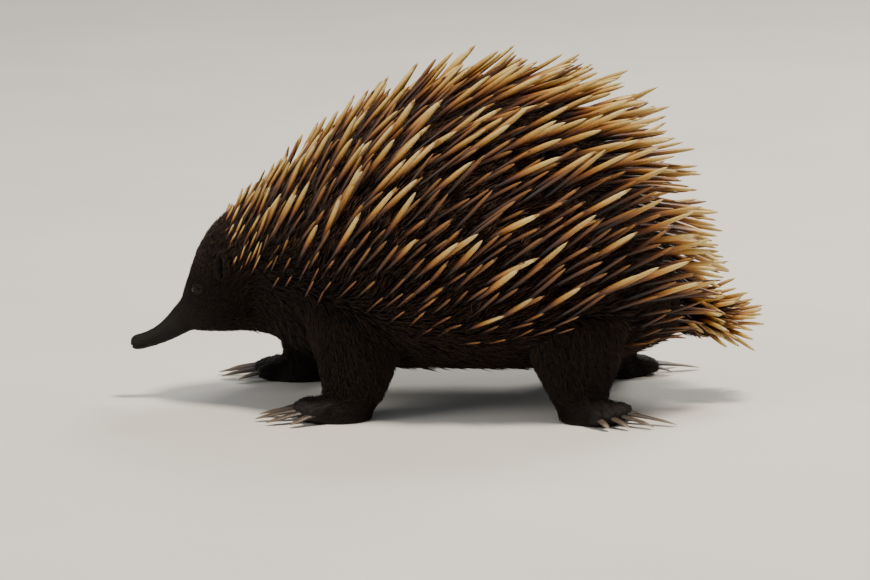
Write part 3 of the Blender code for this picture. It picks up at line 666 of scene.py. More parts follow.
def eyeMaterial():
    # A wet eye: near-black brown iris that fills the gap, under a clear film that takes
    # one sharp highlight.
    finish = {"Roughness": 0.04, "IOR": 1.376, "Specular IOR Level": 0.3}
    material, add, shader, across = newMaterial("wetEye", finish, "fromPupil")
    place = add("TexCoord", output="Object")
    fibres = add("TexNoise", {"Vector": place, "Scale": perMetre(0.6), "Detail": 3.0}, output="Color")
    ring = add("ValToRGB", {"Fac": across}, stops=(
        (0.0, "#020101"), (0.32, "#030202"), (0.42, "#1d0f07"), (0.75, "#120904"), (1.0, "#050302")))
    mixed = add("Mix", {"Factor": 0.35, "A": ring, "B": fibres}, data_type="RGBA", blend_type="MULTIPLY")
    setInputs(shader, {"Base Color": mixed})
    return material


hide = hideMaterial()
clawHorn = clawMaterial()
wetEye = eyeMaterial()


# Spines and fur: how they grow from place to place

coatField = {
    # section: spine rise on the top line and on the flank, length, lowest height of the spines
    "crown": (68, 52, 20, 98),
    "nape": (64, 53, 28, 98),
    "neck": (61, 53, 36, 90),
    "shoulder": (58, 50, 42, 80),
    "withers": (46, 46, 46, 66),
    "back": (32, 40, 47, 57),
    "loin": (25, 38, 48, 53),
    "croup": (14, 33, 48, 51),
    "rump": (-6, 18, 46, 48),
    "tailRoot": (-20, 3, 40, 50),
    "vent": (-34, -14, 34, 56),
}
furField = {
    # section: length, tufts a square millimetre, tuft width in millimetres, lift in degrees, brownness
    "billRoot": (1.6, 1.5, 0.28, 8, 0.10),
    "face": (3.0, 1.5, 0.32, 10, 0.08),
    "brow": (5.4, 1.1, 0.42, 19, 0.12),
    "crown": (8.6, 0.75, 0.55, 25, 0.24),
    "nape": (11.0, 0.46, 0.75, 24, 0.30),
    "neck": (13.5, 0.34, 0.90, 26, 0.35),
    "shoulder": (15.0, 0.28, 1.0, 26, 0.40),
    "withers": (16.0, 0.26, 1.05, 26, 0.50),
    "loin": (16.0, 0.26, 1.05, 26, 0.60),
    "rump": (14.0, 0.28, 1.0, 26, 0.60),
    "tailRoot": (11.0, 0.36, 0.9, 24, 0.55),
    "vent": (8.0, 0.5, 0.7, 20, 0.45),
}
partFur = {
    # where the coat of a part differs from the body's, in the same units and order
    "bill": {"length": 1.6, "density": 1.5,
             "goneBy": 0.3, "furTo": 0.26, "bareBy": 0.35},  # shares of the bill's length
    "leg": {"length": 6.5, "longer": 4.5, "between": (25 * mm, 70 * mm),  # more between these heights
            "others": (0.75, 0.62, 18, 0.12)},
    "foot": {"length": 5.0, "shorter": 3.2, "thinner": 0.75,  # less at the toes
             "bare": (0.35, 0.65),  # at the heel, and added at the toes
             "sole": 2.2 * mm, "others": (0.38, 12, 0.15)},
    "tail": {"others": (9.0, 0.5, 0.7, 24)},
}


def fieldAt(field, section):
    rows = np.array(list(field.values()), float)
    at = [sectionAt[name] for name in field]
    return [np.interp(section, at, rows[:, k]) for k in range(rows.shape[1])]


def spineLie(section, degrees, normal, lift=22):  # lift: least angle to the skin, in degrees
    topRise, flankRise, _, _ = fieldAt(coatField, section)
    onTop = smoothStep(np.sin(np.radians(degrees)), 0.3, 0.95)
    rise = np.radians(flankRise + (topRise - flankRise) * onTop)
    lie = unit(np.stack([np.cos(rise), 0.3 * normal[..., 1], np.sin(rise)], axis=-1))
    missing = math.sin(math.radians(lift)) - (lie * normal).sum(-1)
    return unit(lie + normal * np.maximum(missing, 0)[..., None])


def readRows(items, name, wide, kind=np.float32):
    rows = np.zeros(len(items) * wide, kind)
    items.foreach_get(name, rows)
    return rows.reshape(-1, wide)


def meshArrays(piece):  # points, normals and the corners of each triangle
    mesh = piece.data
    points, normals = (readRows(mesh.vertices, name, 3).astype(float) for name in ("co", "normal"))
    return points, normals, readRows(mesh.loops, "vertex_index", 1, np.int32).reshape(-1, 3)


def setAttribute(mesh, name, values):
    attribute = mesh.attributes.new(name, "FLOAT", "POINT")
    attribute.data.foreach_set("value", np.asarray(values, np.float32))


def spreadOver(values, corners, rounds):  # evens a field out over the surface
    edges = np.concatenate([corners[:, [0, 1]], corners[:, [1, 2]], corners[:, [2, 0]]])
    count = np.bincount(edges.ravel(), minlength=len(values))[:, None]
    for _ in range(rounds):
        total = np.zeros_like(values)
        for k in range(values.shape[1]):
            total[:, k] = np.bincount(edges[:, 0], values[edges[:, 1], k], len(values))
            total[:, k] += np.bincount(edges[:, 1], values[edges[:, 0], k], len(values))
        values = (values + total / np.maximum(count, 1)) / 2
    return values


def nearestPart(points, trees, reach=12 * mm):  # the body's name where nothing lies in reach
    best = np.full(len(points), 1e9)
    label = np.zeros(len(points), int)
    for i, tree in enumerate(trees.values()):
        for k, point in enumerate(points):
            distance = tree.find_nearest(point, reach)[3]
            if distance is not None and distance < best[k]:
                best[k], label[k] = distance, i
    return np.array(list(trees))[label]


def nearestOf(points, targets):  # for each point, the number of the nearest target
    tree = KDTree(len(targets))
    for i, target in enumerate(targets):
        tree.insert(target, i)
    tree.balance()
    return np.array([tree.find(point)[1] for point in points])


def bodyPlaces(points):  # section and degrees of the nearest place on the body
    steps = np.arange(0, lastSection + 0.01, 0.1), np.arange(0, 360, 4.0)
    sections, degrees = (rows.ravel() for rows in np.meshgrid(*steps, indexing="ij"))
    nearest = nearestOf(points, bodyPoints(sections, degrees))
    return sections[nearest], degrees[nearest]


def furOverSkin(skin, trees):
    # For each point of the skin: lie (3), length, density, width, lift, brownness, bareness.
    points, normals, corners = meshArrays(skin)
    part = nearestPart(points, trees)
    section, degrees = bodyPlaces(points)
    length, density, width, lift, brown = fieldAt(furField, section)
    bare = np.zeros(len(points))
    lie = spineLie(section, degrees, normals, 0)
    # Below the spines the coat hangs, except on the head.
    lowest = fieldAt(coatField, section)[3] * mm
    hanging = unit(np.array([[0.86, 0.0, -0.5]]) + normals * (0.0, 0.3, 0.0))
    below = smoothStep(points[:, 2], lowest + 10 * mm, lowest - 15 * mm) * (section > 3.5)
    lie = lie * (1 - below)[:, None] + hanging * below[:, None]
    brown = brown * (1 - 0.6 * below)
    lift = lift * (1 - 0.35 * below)
    for name in trees:
        kind = next((kind for kind in partFur if kind in name), "body")
        own = partFur.get(kind)
        here = part == name
        height = points[here, 2]
        if kind == "bill":
            root, axis, _ = billAxes()
            share = ((points[here] - np.array(root)) @ np.array(axis)) / axis.length_squared
            length[here] = own["length"] * (1 - smoothStep(share, 0.0, own["goneBy"]))
            density[here] = own["density"] * (share < own["furTo"])
            bare[here] = smoothStep(share, 0.0, own["bareBy"])
            lie[here] = unit(-np.array(axis))
        elif kind == "leg":
            length[here] = own["length"] + own["longer"] * smoothStep(height, *own["between"])
            density[here], width[here], lift[here], brown[here] = own["others"]
            lie[here] = unit(np.array([0.25, 0.0, -1.0]) + normals[here] * 0.1)
        elif kind == "foot":
            pair, side = name.split("foot_")
            place, *_ = footPlace(pair, side)
            local = (np.array(place.inverted().to_3x3()) @ (points[here] - np.array(place.translation)).T).T
            toToes = smoothStep(-local[:, 0], 4 * mm, footShape[pair]["halfLength"] * mm * 1.5)
            length[here] = own["length"] - own["shorter"] * toToes
            density[here] = np.where(height < own["sole"], 0, 1.0) * (1 - own["thinner"] * toToes)
            width[here], lift[here], brown[here] = own["others"]
            bare[here] = own["bare"][0] + own["bare"][1] * toToes
            lie[here] = np.array(place.to_3x3() @ Vector((-1, 0, -0.35)))
        elif kind == "tail":
            length[here], density[here], width[here], lift[here] = own["others"]
            lie[here] = unit(np.array(fleshShape["tailTip"] - fleshShape["tailRoot"]))
    fields = np.column_stack([unit(lie), length * mm, density, width * mm, lift, brown, bare])
    return points, normals, corners, spreadOver(fields, corners, 10)


# Joined meshes of many small spines or tufts, made from arrays

def unwrapSkin(skin):  # a plain unwrap of the skin, whose places the coat's own maps use
    bpy.context.view_layer.objects.active = skin
    skin.select_set(True)
    bpy.ops.object.mode_set(mode="EDIT")
    bpy.ops.mesh.select_all(action="SELECT")
    bpy.ops.uv.smart_project(angle_limit=math.radians(66), island_margin=0.002)
    bpy.ops.object.mode_set(mode="OBJECT")
    skin.data.uv_layers.active.name = "hideUnwrap"
    return readRows(skin.data.uv_layers.active.data, "uv", 2).reshape(-1, 3, 2)


def placesUnder(points, tree, skinPlaces):  # on the unwrap, of the skin's triangles under the points
    return skinPlaces[[tree.find_nearest(point)[2] for point in points]]


def strandMesh(name, strands, chosen, shares, sides, material):
    # strands has a row for each strand: the centres and radii of its rings, two axes across it,
    # its root's place on the unwrap and values for the material. The last ring is drawn to a point.
    values = {label: rows[chosen] for label, rows in strands.items()}
    centres, radii, axes, rootPlaces = (values.pop(label) for label in ("centres", "radii", "axes", "places"))
    count, rings, _ = centres.shape
    turns = (np.arange(sides) * 2 * math.pi / sides)[None, None, :, None]
    spread = np.cos(turns) * axes[:, 0, None, None] + np.sin(turns) * axes[:, 1, None, None]
    body = centres[:, :-1, None, :] + radii[:, :-1, None, None] * spread
    points = np.concatenate([body.reshape(count, -1, 3), centres[:, -1:, :]], axis=1)
    perStrand = points.shape[1]
    last = (rings - 2) * sides
    faces = []
    for low in range(0, last, sides):
        for k in range(sides):
            n, high = (k + 1) % sides, low + sides
            faces += [(low + k, low + n, high + n), (low + k, high + n, high + k)]
    faces += [(last + k, last + (k + 1) % sides, perStrand - 1) for k in range(sides)]
    faces += [(0, k + 1, k) for k in range(1, sides - 1)]  # the root's end
    corners = (np.array(faces)[None] + np.arange(count)[:, None, None] * perStrand).reshape(-1)
    mesh = bpy.data.meshes.new(name)
    mesh.vertices.add(count * perStrand)
    mesh.vertices.foreach_set("co", points.astype(np.float32).ravel())
    mesh.loops.add(len(corners))
    mesh.loops.foreach_set("vertex_index", corners.astype(np.int32))
    mesh.polygons.add(len(corners) // 3)
    mesh.polygons.foreach_set("loop_start", np.arange(0, len(corners), 3, dtype=np.int32))
    mesh.update(calc_edges=True)
    mesh.shade_smooth()
    along = np.concatenate([np.repeat(shares[:-1], sides), [1.0]])
    around = np.concatenate([np.tile(np.arange(sides) / sides, rings - 1), [0.5]])
    setAttribute(mesh, "along", np.tile(along, count))
    for label, rows in values.items():
        setAttribute(mesh, label, np.repeat(rows, perStrand))
    patch = 0.003  # size of a strand's own patch on the unwrap
    local = (np.column_stack([around, along]) - 0.5) * patch
    places = np.clip(rootPlaces, patch, 1 - patch)[:, None, :] + local[None]
    bake = mesh.uv_layers.new(name="OFBake")
    bake.data.foreach_set("uv", places.reshape(-1, 2)[corners].astype(np.float32).ravel())
    mesh.materials.append(material)
    mesh.validate()
    return addObject(name, mesh)


def crossAxes(directions, draw):
    other = unit(np.cross(directions, draw.normal(size=directions.shape)))
    return np.stack([other, np.cross(directions, other)], axis=1)


# Spines

spineShape = {
    "seed": 5,
    "tries": 60000,
    "spacing": 8.6 * mm,
    "crownSpacing": 4.8 * mm,
    "sections": (3.05, 12.9),
    "groups": ("head", "shoulders", "trunk", "rump", "tail"),
    "groupEnds": (4, 7, 10),  # sections where the first three end
    "sides": 6,
    # share of the length from the root, and thickness there
    "profile": ((0, 0.62), (0.12, 0.86), (0.32, 1.0), (0.58, 1.0), (0.77, 0.90),
                (0.89, 0.70), (0.96, 0.40), (1, 0)),
    "radius": 1.95 * mm,  # at the thickest, of a long spine
    "sunk": 3.5 * mm,  # length of the root under the skin
    "deepest": 2.5 * mm,  # under the skin, past which a root lies in a leg and is left out
    "lengths": (0.82, 1.1),  # least and greatest share of the field's length
    "lowShorter": 0.2,  # how much shorter they are low on the flank
    "darkLengths": (0.62, 0.95),
    "paleLonger": 1.04,
    "thicknesses": (0.85, 1.1),
    "darkThinner": 0.74,
    "headThinner": 0.45,
    "turn": 0.05625,  # random turn of each
    "partings": 26 * mm,  # size of the groups that lean the same way
    "parted": 0.13,  # how far they lean
    "bend": 0.075,  # sideways bend of the longest, of its length
    "sag": 0.02,
    # share of thinner, darker spines between the pale ones: on top, added low on the flank (partly browner
    # spines there, partly painted shade of the lower flank), added at the coat's lower edge, and taken off on
    # the head
    "darkShare": (0.55, 0.27, 0.20, 0.16),
    "edge": 26 * mm,  # height over which the coat thins out at its lower edge
    "brow": (0.75, 0.5),  # sections in which the foremost grow to full length, and their first share of it
    "tailTries": 150,
    "tailSpan": (0.2, 0.78),  # where on the tail they start, and the share of it that they cover
    "tailUnder": -0.35,  # none on the underside, below this share of the radius
    "tailLean": (0.7, 0.12),  # outwards and upwards from the tail's own way
    "tailTurn": 0.1,
    "tailLengths": (20, 31),  # millimetres
    "tailFineness": 0.55,
}


def chooseRoots(draw):
    tries = spineShape["tries"]
    section = draw.uniform(*spineShape["sections"], tries)
    degrees = draw.uniform(-90, 270, tries)
    points = bodyPoints(section, degrees)
    lowest = fieldAt(coatField, section)[3] * mm + draw.normal(0, 4 * mm, tries)
    fine = 1 - smoothStep(section, sectionAt["nape"] - 0.5, sectionAt["neck"] + 0.5)
    cell = spineShape["spacing"]
    spacing = cell + (spineShape["crownSpacing"] - cell) * fine
    steps = (-1, 0, 1)
    grid, chosen = {}, []
    for i in np.flatnonzero(points[:, 2] > lowest):
        x, y, z = (points[i] // cell).astype(int)
        near = [j for dx in steps for dy in steps for dz in steps
                for j in grid.get((x + dx, y + dy, z + dz), ())]
        if near and np.linalg.norm(points[near] - points[i], axis=1).min() < spacing[i]:
            continue
        grid.setdefault((x, y, z), []).append(i)
        chosen.append(i)
    over = (points[chosen, 2] - fieldAt(coatField, section[chosen])[3] * mm) / spineShape["edge"]
    return section[chosen], degrees[chosen], fine[chosen], smoothStep(over, -0.1, 1)


def tailSpines(draw):
    root, tip = (np.array(fleshShape[end]) + shift for end in ("tailRoot", "tailTip"))
    axis = tip - root
    up = unit(np.array([-axis[2], 0, axis[0]]))
    tries = np.arange(spineShape["tailTries"])
    start, span = spineShape["tailSpan"]
    share = start + span * tries / len(tries)
    turn = np.radians(137.5) * tries  # the golden angle spreads them evenly
    outward = up * np.sin(turn)[:, None] + np.array([0, 1, 0]) * np.cos(turn)[:, None]
    keep = outward[:, 2] > spineShape["tailUnder"]
    share, outward = share[keep], outward[keep]
    count = len(share)
    radius = np.interp(share, *np.array(fleshShape["tailRings"]).T) * mm
    points = root + axis * share[:, None] + outward * radius[:, None] * (1, 1, fleshShape["tailFlatness"])
    turned = draw.normal(0, spineShape["tailTurn"], outward.shape)
    out, raised = spineShape["tailLean"]
    directions = unit(unit(axis) + outward * out + (0, 0, raised) + turned)
    lengths = draw.uniform(*spineShape["tailLengths"], count) * mm
    fine = np.full(count, spineShape["tailFineness"])
    return points, directions, lengths, fine, np.ones(count), np.zeros(count), np.full(count, "tail")


def growSpines(tree, skinPlaces, material):
    draw = np.random.default_rng(spineShape["seed"])
    noise.seed_set(spineShape["seed"])  # unseeded, the noise vectors differ from run to run
    section, degrees, fine, full = chooseRoots(draw)
    count = len(section)
    normal = bodyNormals(section, degrees)
    upness = np.sin(np.radians(degrees))
    length = fieldAt(coatField, section)[2] * (
        1 - spineShape["lowShorter"] * (1 - smoothStep(upness, -0.6, 0.5)))
    length = length * draw.uniform(*spineShape["lengths"], count) * mm * (0.72 + 0.28 * full)
    first, (reach, least) = spineShape["sections"][0], spineShape["brow"]
    length = length * (least + (1 - least) * smoothStep(section, first, first + reach))
    length = length + bodyInset(section) * 1.6
    direction = spineLie(section, degrees, normal)
    depth = bodyInset(section) / (direction * normal).sum(-1)
    root = bodyPoints(section, degrees) - direction * depth[:, None]
    lowDown = 1 - smoothStep(upness, 0.0, 0.9)
    group = np.array(spineShape["groups"])[np.searchsorted(spineShape["groupEnds"], section)]
    clear = np.array([tree.find_nearest(point)[3] < spineShape["deepest"] for point in root])
    onBody = [rows[clear] for rows in (root, direction, length, fine, full, lowDown, group)]
    joined = [np.concatenate(rows) for rows in zip(onBody, tailSpines(draw))]
    root, direction, length, fine, full, lowDown, group = joined
    count = len(root)
    onTop, lowFlankBrownAndShade, atEdge, onHead = spineShape["darkShare"]
    # low on the flank more spines take the dark colours: partly browner spines, partly painted shade
    dark = draw.random(count) < onTop + lowFlankBrownAndShade * lowDown * (1 - fine) + atEdge * (1 - full) - onHead * fine
    darkLength = length * draw.uniform(*spineShape["darkLengths"], count)
    length = np.where(dark, darkLength, length * spineShape["paleLonger"])
    parting = np.array([noise.noise_vector(Vector(point / spineShape["partings"])) for point in root])
    turned = draw.normal(0, spineShape["turn"], (count, 3))
    direction = unit(direction + parting * spineShape["parted"] + turned)
    thickness = spineShape["radius"] * (1 - spineShape["headThinner"] * fine)
    thickness = thickness * np.where(dark, spineShape["darkThinner"], 1.0)
    thickness = thickness * (0.55 + 0.45 * full) * draw.uniform(*spineShape["thicknesses"], count)
    bend = unit(np.cross(direction, draw.normal(size=(count, 3))))
    bend = bend * (draw.uniform(0, 1, count) * length * spineShape["bend"])[:, None]
    bend[:, 2] -= length * spineShape["sag"]  # the longer ones sag a little towards the tip
    shares, profile = np.array(spineShape["profile"]).T
    start = root - direction * spineShape["sunk"]
    whole = (length + spineShape["sunk"])[:, None] * shares
    straight = start[:, None] + direction[:, None] * whole[..., None]
    strands = {
        "centres": straight + bend[:, None] * (shares**2)[None, :, None],
        "radii": thickness[:, None] * profile,
        "places": placesUnder(root, tree, skinPlaces).mean(axis=1),
        "axes": crossAxes(direction, draw),
        "tint": draw.random(count),
        "dark": dark.astype(float),
    }
    pieces = []
    for name in spineShape["groups"]:
        here = group == name
        pieces.append(strandMesh(f"spines_{name}", strands, here, shares, spineShape["sides"], material))
        print("spines on the", name, int(here.sum()))
    return pieces


def spineMaterial():
    # Keratin spines, hollow and smooth: dark at the root, partly their own colour and partly painted
    # shade of the coat round them, orange-brown, then straw-yellow with a small dark tip. A satin surface,
    # with a fine speckle where the horn is worn.
    finish = {"Roughness": 0.38, "IOR": 1.54}
    material, add, shader, along, tint, dark = newMaterial(
        "bandedSpineKeratin", finish, "along", "tint", "dark")
    offset = add("Math", {0: tint, 1: 0.16}, operation="MULTIPLY")  # the bands differ in place
    moved = add("Math", {0: along, 1: offset}, operation="ADD")
    banding = add("Math", {0: moved, 1: 0.08}, operation="SUBTRACT")
    # the darkest stops near the root in both ramps are partly the spines' own dark roots, partly painted
    # shade from the fur round them
    pale = add("ValToRGB", {"Fac": banding}, stops=(
        (0.0, "#0e0704"), (0.29, "#1f0f07"), (0.44, "#5e300d"), (0.56, "#9c6324"),
        (0.69, "#c49543"), (0.84, "#d8b96d"), (0.96, "#dfc98a"), (1.0, "#ab8248")))
    brown = add("ValToRGB", {"Fac": banding}, stops=(
        (0.0, "#0b0603"), (0.38, "#1f0f05"), (0.64, "#512b0c"),
        (0.85, "#85551f"), (0.97, "#9d7133"), (1.0, "#4a2e18")))
    colour = add("Mix", {"Factor": dark, "A": pale, "B": brown}, data_type="RGBA")
    place = add("TexCoord", output="Object")
    speckle = add("TexNoise", {"Vector": place, "Scale": perMetre(1.6), "Detail": 4.0, "Roughness": 0.6})
    wear = add("MapRange",
               {"Value": speckle, "From Min": 0.3, "From Max": 0.75, "To Min": 0.72, "To Max": 1.1})
    worn = add("Mix", {"Factor": 1.0, "A": colour, "B": wear}, data_type="RGBA", blend_type="MULTIPLY")
    value = add("MapRange", {"Value": tint, "To Min": 0.78, "To Max": 1.08})
    shaded = add("HueSaturation", {"Color": worn, "Value": value})
    rough = add("MapRange", {"Value": speckle, "To Min": 0.28, "To Max": 0.5})
    bump = add("Bump", {"Height": speckle, "Strength": 0.25, "Distance": 0.12 * mm})
    setInputs(shader, {"Base Color": shaded, "Roughness": rough, "Normal": bump})
    return material


# Fur

furShape = {
    "seed": 9,
    "shares": np.array((0.0, 0.5, 1.0)),
    "sides": 3,
    "mostInPiece": 18500,
    "moreTufts": 1.7,  # times the fields' density
    "quickTufts": 0.25,
    "thinner": 0.76,  # times the fields' width
    "clumpEvery": 9,  # tufts that draw together at their tips
    "clumpPull": 0.45,
    "shortest": 0.5 * mm,  # below it a place stays bare
    "lengths": (0.65, 1.15),  # least and greatest share of the fields' length
    "widths": (0.35, 0.6),  # and of their width, for half a tuft's
    "taper": (1.0, 0.8, 0.0),
    "arch": 0.12,  # rise of a tuft's middle, of its length
    "turn": 0.15,  # random turn of each tuft
    "liftTurn": 5,  # and of its lift, in degrees
    "waves": 14 * mm,  # size of the swirls in the lie
    "swirl": 0.5,  # how far they turn it
    "sunk": 0.4 * mm,
    "aboveFloor": 0.4 * mm,
}


def joinSurfaces(surfaces):  # one set of arrays from the skin's, the ears' and the lids'
    points, normals, corners, fields = (list(rows) for rows in zip(*surfaces))
    starts = np.cumsum([0] + [len(rows) for rows in points[:-1]])
    corners = [rows + start for rows, start in zip(corners, starts)]
    return [np.concatenate(rows) for rows in (points, normals, corners, fields)]


def growFur(points, normals, corners, fields, skinPlaces, material):
    draw = np.random.default_rng(furShape["seed"])
    noise.seed_set(furShape["seed"])
    triangles = points[corners]
    a, b, c = triangles[:, 0], triangles[:, 1], triangles[:, 2]
    area = np.linalg.norm(np.cross(b - a, c - a), axis=1) / 2
    length, density = fields[:, 3], fields[:, 4]
    furry = length[corners].mean(axis=1) > furShape["shortest"]
    weight = area / mm**2 * density[corners].mean(axis=1) * furry
    total = np.cumsum(weight)
    count = int(total[-1] * furShape["moreTufts"] * (1))
    at = (np.arange(count) + draw.random(count)) / count * total[-1]
    chosen = np.minimum(np.searchsorted(total, at), len(corners) - 1)
    mix = draw.dirichlet((1, 1, 1), count)[..., None]
    ofCorners = triangles[chosen], normals[corners[chosen]], fields[corners[chosen]], skinPlaces[chosen]
    root, normal, field, places = ((rows * mix).sum(axis=1) for rows in ofCorners)
    normal = unit(normal)
    swirl = np.array([noise.noise_vector(Vector(point / furShape["waves"])) for point in root])
    lie = field[:, :3] + swirl * furShape["swirl"] + draw.normal(0, furShape["turn"], (count, 3))
    lie = unit(lie - normal * (lie * normal).sum(-1, keepdims=True))
    lift = np.radians(field[:, 6] + draw.normal(0, furShape["liftTurn"], count))[:, None]
    length = (field[:, 3] * draw.uniform(*furShape["lengths"], count))[:, None]
    direction = unit(lie * np.cos(lift) + normal * np.sin(lift))
    tip = root + direction * length
    leaders = draw.choice(count, count // furShape["clumpEvery"], replace=False)
    follows = leaders[nearestOf(root, root[leaders])]
    tip = tip + (tip[follows] - tip) * furShape["clumpPull"] * draw.random((count, 1))
    middle = (root + tip) / 2 + normal * (length * furShape["arch"])
    centres = np.stack([root - normal * furShape["sunk"], middle, tip], axis=1)
    centres[..., 2] = np.maximum(centres[..., 2], furShape["aboveFloor"])
    width = field[:, 5][:, None] * furShape["thinner"] * draw.uniform(*furShape["widths"], (count, 1))
    strands = {
        "centres": centres,
        "radii": width * furShape["taper"],
        "places": places,
        "axes": crossAxes(direction, draw),
        "tint": draw.random(count),
        "brown": field[:, 7],
    }
    order = np.argsort(root[:, 0], kind="stable")
    pieces = []
    for i in range(0, count, furShape["mostInPiece"]):
        part = order[i:i + furShape["mostInPiece"]]
        name = f"fur_{len(pieces) + 1}"
        pieces.append(strandMesh(name, strands, part, furShape["shares"], furShape["sides"], material))
    print("fur tufts", count, "in", len(pieces), "pieces")
    return pieces


def furMaterial():
    # Coarse guard hair: brown-black, warmer towards the tips on the back, with a faint sheen.
    finish = {"Roughness": 0.6, "IOR": 1.5, "Specular IOR Level": 0.3}
    material, add, shader, along, tint, brown = newMaterial(
        "coarseDarkHair", finish, "along", "tint", "brown")
    blackHair, brownHair = (add("ValToRGB", {"Fac": along}, stops=stops) for stops in (
        ((0.0, "#060302"), (0.6, "#130b06"), (1.0, "#2c1a0e")),
        ((0.0, "#0e0805"), (0.5, "#331a0b"), (1.0, "#74421a"))))
    share = add("Math", {0: brown, 1: tint}, operation="MULTIPLY")
    colour = add("Mix", {"Factor": share, "A": blackHair, "B": brownHair}, data_type="RGBA")
    setInputs(shader, {"Base Color": colour})
    return material


# Claws, eyes, lids and ears

clawShape = {
    "sides": 12,
    "rings": 12,
    "drop": 3.2 * mm,  # of the tip below the straight line
    "curve": 1.8,  # power with which it drops
    "slimmer": 0.30,  # at the tip
    "point": (0.72, 0.5),  # share of the length where the point starts, and how much it slims further
    "height": (0.72, 0.36),  # share of the width at the root, and what the tip has less
    "root": Vector((-2, 0, 0.6)) * mm,
    "rise": math.radians(-2),
    "hidden": 5.4 * mm,  # length of the root inside the toe
    "hollow": 0.35,  # height of its underside against the top, as a digging claw is scooped
    "aboveFloor": 0.1 * mm,
}


def makeClaw(name, place, length, width):
    bm = bmesh.new()
    reach = length + clawShape["hidden"]
    pointStart, pointed = clawShape["point"]
    tall, lower = clawShape["height"]
    rings = []
    for share in np.linspace(0, 1, clawShape["rings"]):
        point = pointed * float(smoothStep(share, pointStart, 1.0)) ** 2
        half = (1 - clawShape["slimmer"] * share**2 - point) * width / 2
        centre = Vector((-reach * share, 0, -clawShape["drop"] * share**clawShape["curve"]))
        ring = []
        for turn in turnsOf(clawShape["sides"]):
            high = half * (tall - lower * share) * math.sin(turn)
            if math.sin(turn) < 0:
                high *= clawShape["hollow"]
            ring.append(centre + aside * (half * math.cos(turn)) + upward * high)
        rings.append(ring)
    addTube(bm, rings)
    along = bm.verts.layers.float.new("along")
    around = bm.loops.layers.uv.new("around")
    for vert in bm.verts:
        vert[along] = min(max(-vert.co.x / reach, 0), 1)
    for face in bm.faces:
        for loop in face.loops:
            loop[around].uv = (loop.vert.co.y / width + 0.5, -loop.vert.co.x / reach)
    lean = Matrix.Translation(clawShape["root"]) @ Matrix.Rotation(clawShape["rise"], 4, "Y")
    bmesh.ops.transform(bm, matrix=place @ lean, verts=bm.verts)
    for vert in bm.verts:
        vert.co.z = max(vert.co.z, clawShape["aboveFloor"])
    claw = newPiece(name, bm, clawHorn)
    applyModifiers(claw, {"SUBSURF": {"levels": 1, "render_levels": 1}})
    return claw


def makeEyeball(side):
    centre, normal, back, up = surfaceFrame(eyeShape, side)
    bm = bmesh.new()
    bmesh.ops.create_uvsphere(bm, u_segments=40, v_segments=24, radius=eyeShape["radius"])
    fromPupil = bm.verts.layers.float.new("fromPupil")
    starts, standsOut = eyeShape["cornea"]
    for vert in bm.verts:
        height = vert.co.z / eyeShape["radius"]
        vert[fromPupil] = min(math.acos(max(min(height, 1), -1)) / (math.pi / 2), 1)
        vert.co.z += standsOut * float(smoothStep(height, starts, 1.0))
    turn = Matrix((back, up, normal)).transposed().to_4x4()
    bmesh.ops.transform(bm, matrix=Matrix.Translation(centre) @ turn, verts=bm.verts)
    if turn.determinant() < 0:
        bmesh.ops.reverse_faces(bm, faces=bm.faces)
    return newPiece(f"eyeball_{side}", bm, wetEye)


def makeFold(name, rings, shape, normal, closeEnd):  # a rim of skin with its thickness inwards
    bm = bmesh.new()
    addTube(bm, rings, closeStart=False, closeEnd=closeEnd)
    if sum(face.normal.dot(normal) for face in bm.faces) < 0:
        bmesh.ops.reverse_faces(bm, faces=bm.faces)
    fold = newPiece(name, bm, hide)
    applyModifiers(fold, {
        "SOLIDIFY": {"thickness": shape["wall"], "offset": -1},
        "SUBSURF": {"levels": 1, "render_levels": 1},
        "TRIANGULATE": {"min_vertices": 4},
    })
    setAttribute(fold.data, "bare", np.full(len(fold.data.vertices), shape["bareness"]))
    return fold


def makeLids(side):  # two lids in one fleshy rim, creased, that meet in a corner before and behind
    centre, normal, back, up = surfaceFrame(eyeShape, side)
    radius = eyeShape["radius"]
    openLong, openHigh = eyeShape["opening"]
    ballEdge = radius * eyeShape["lidEdge"]
    upper, lower = eyeShape["lidHeights"]
    creases, slant, relief = eyeShape["creases"]
    rings = []
    for out, over in eyeShape["lidRings"]:
        ring = []
        for turn in turnsOf(eyeShape["lidSides"]):
            long = openLong + abs(math.cos(turn)) ** 8 * eyeShape["corner"] + out * mm
            high = openHigh + out * mm * (upper if math.sin(turn) > 0 else lower)
            x, y = long * math.cos(turn), high * math.sin(turn)
            fold = relief * math.sin(turn * creases + slant * out) * math.sin(math.pi * min(out / 3.6, 1))
            flat = math.hypot(x, y)
            base = radius * 0.39 - (flat - ballEdge) * 0.42
            if flat < ballEdge:
                base = math.sqrt(radius**2 - flat**2)
            ring.append(centre + back * x + up * y + normal * (base + over * mm + fold))
        rings.append(ring)
    return makeFold(f"lids_{side}", rings, eyeShape, normal, closeEnd=False)


def makeEar(side):  # an upright slit with a thick rim, opening outwards into a dark cup
    centre, normal, back, up = surfaceFrame(earShape, side)
    rings = []
    for halfWidth, halfHeight, height in earShape["rings"]:
        ring = []
        for turn in turnsOf(earShape["sides"]):
            x = halfWidth * math.cos(turn) * (1 - earShape["lowerWider"] * math.sin(turn))
            lean = 1 + earShape["rearHigher"] * math.cos(turn)
            y = halfHeight * math.sin(turn)
            ring.append(centre + (back * x + up * y + normal * (height * lean)) * mm)
        rings.append(ring)
    return makeFold(f"earCup_{side}", rings, earShape, normal, closeEnd=True)


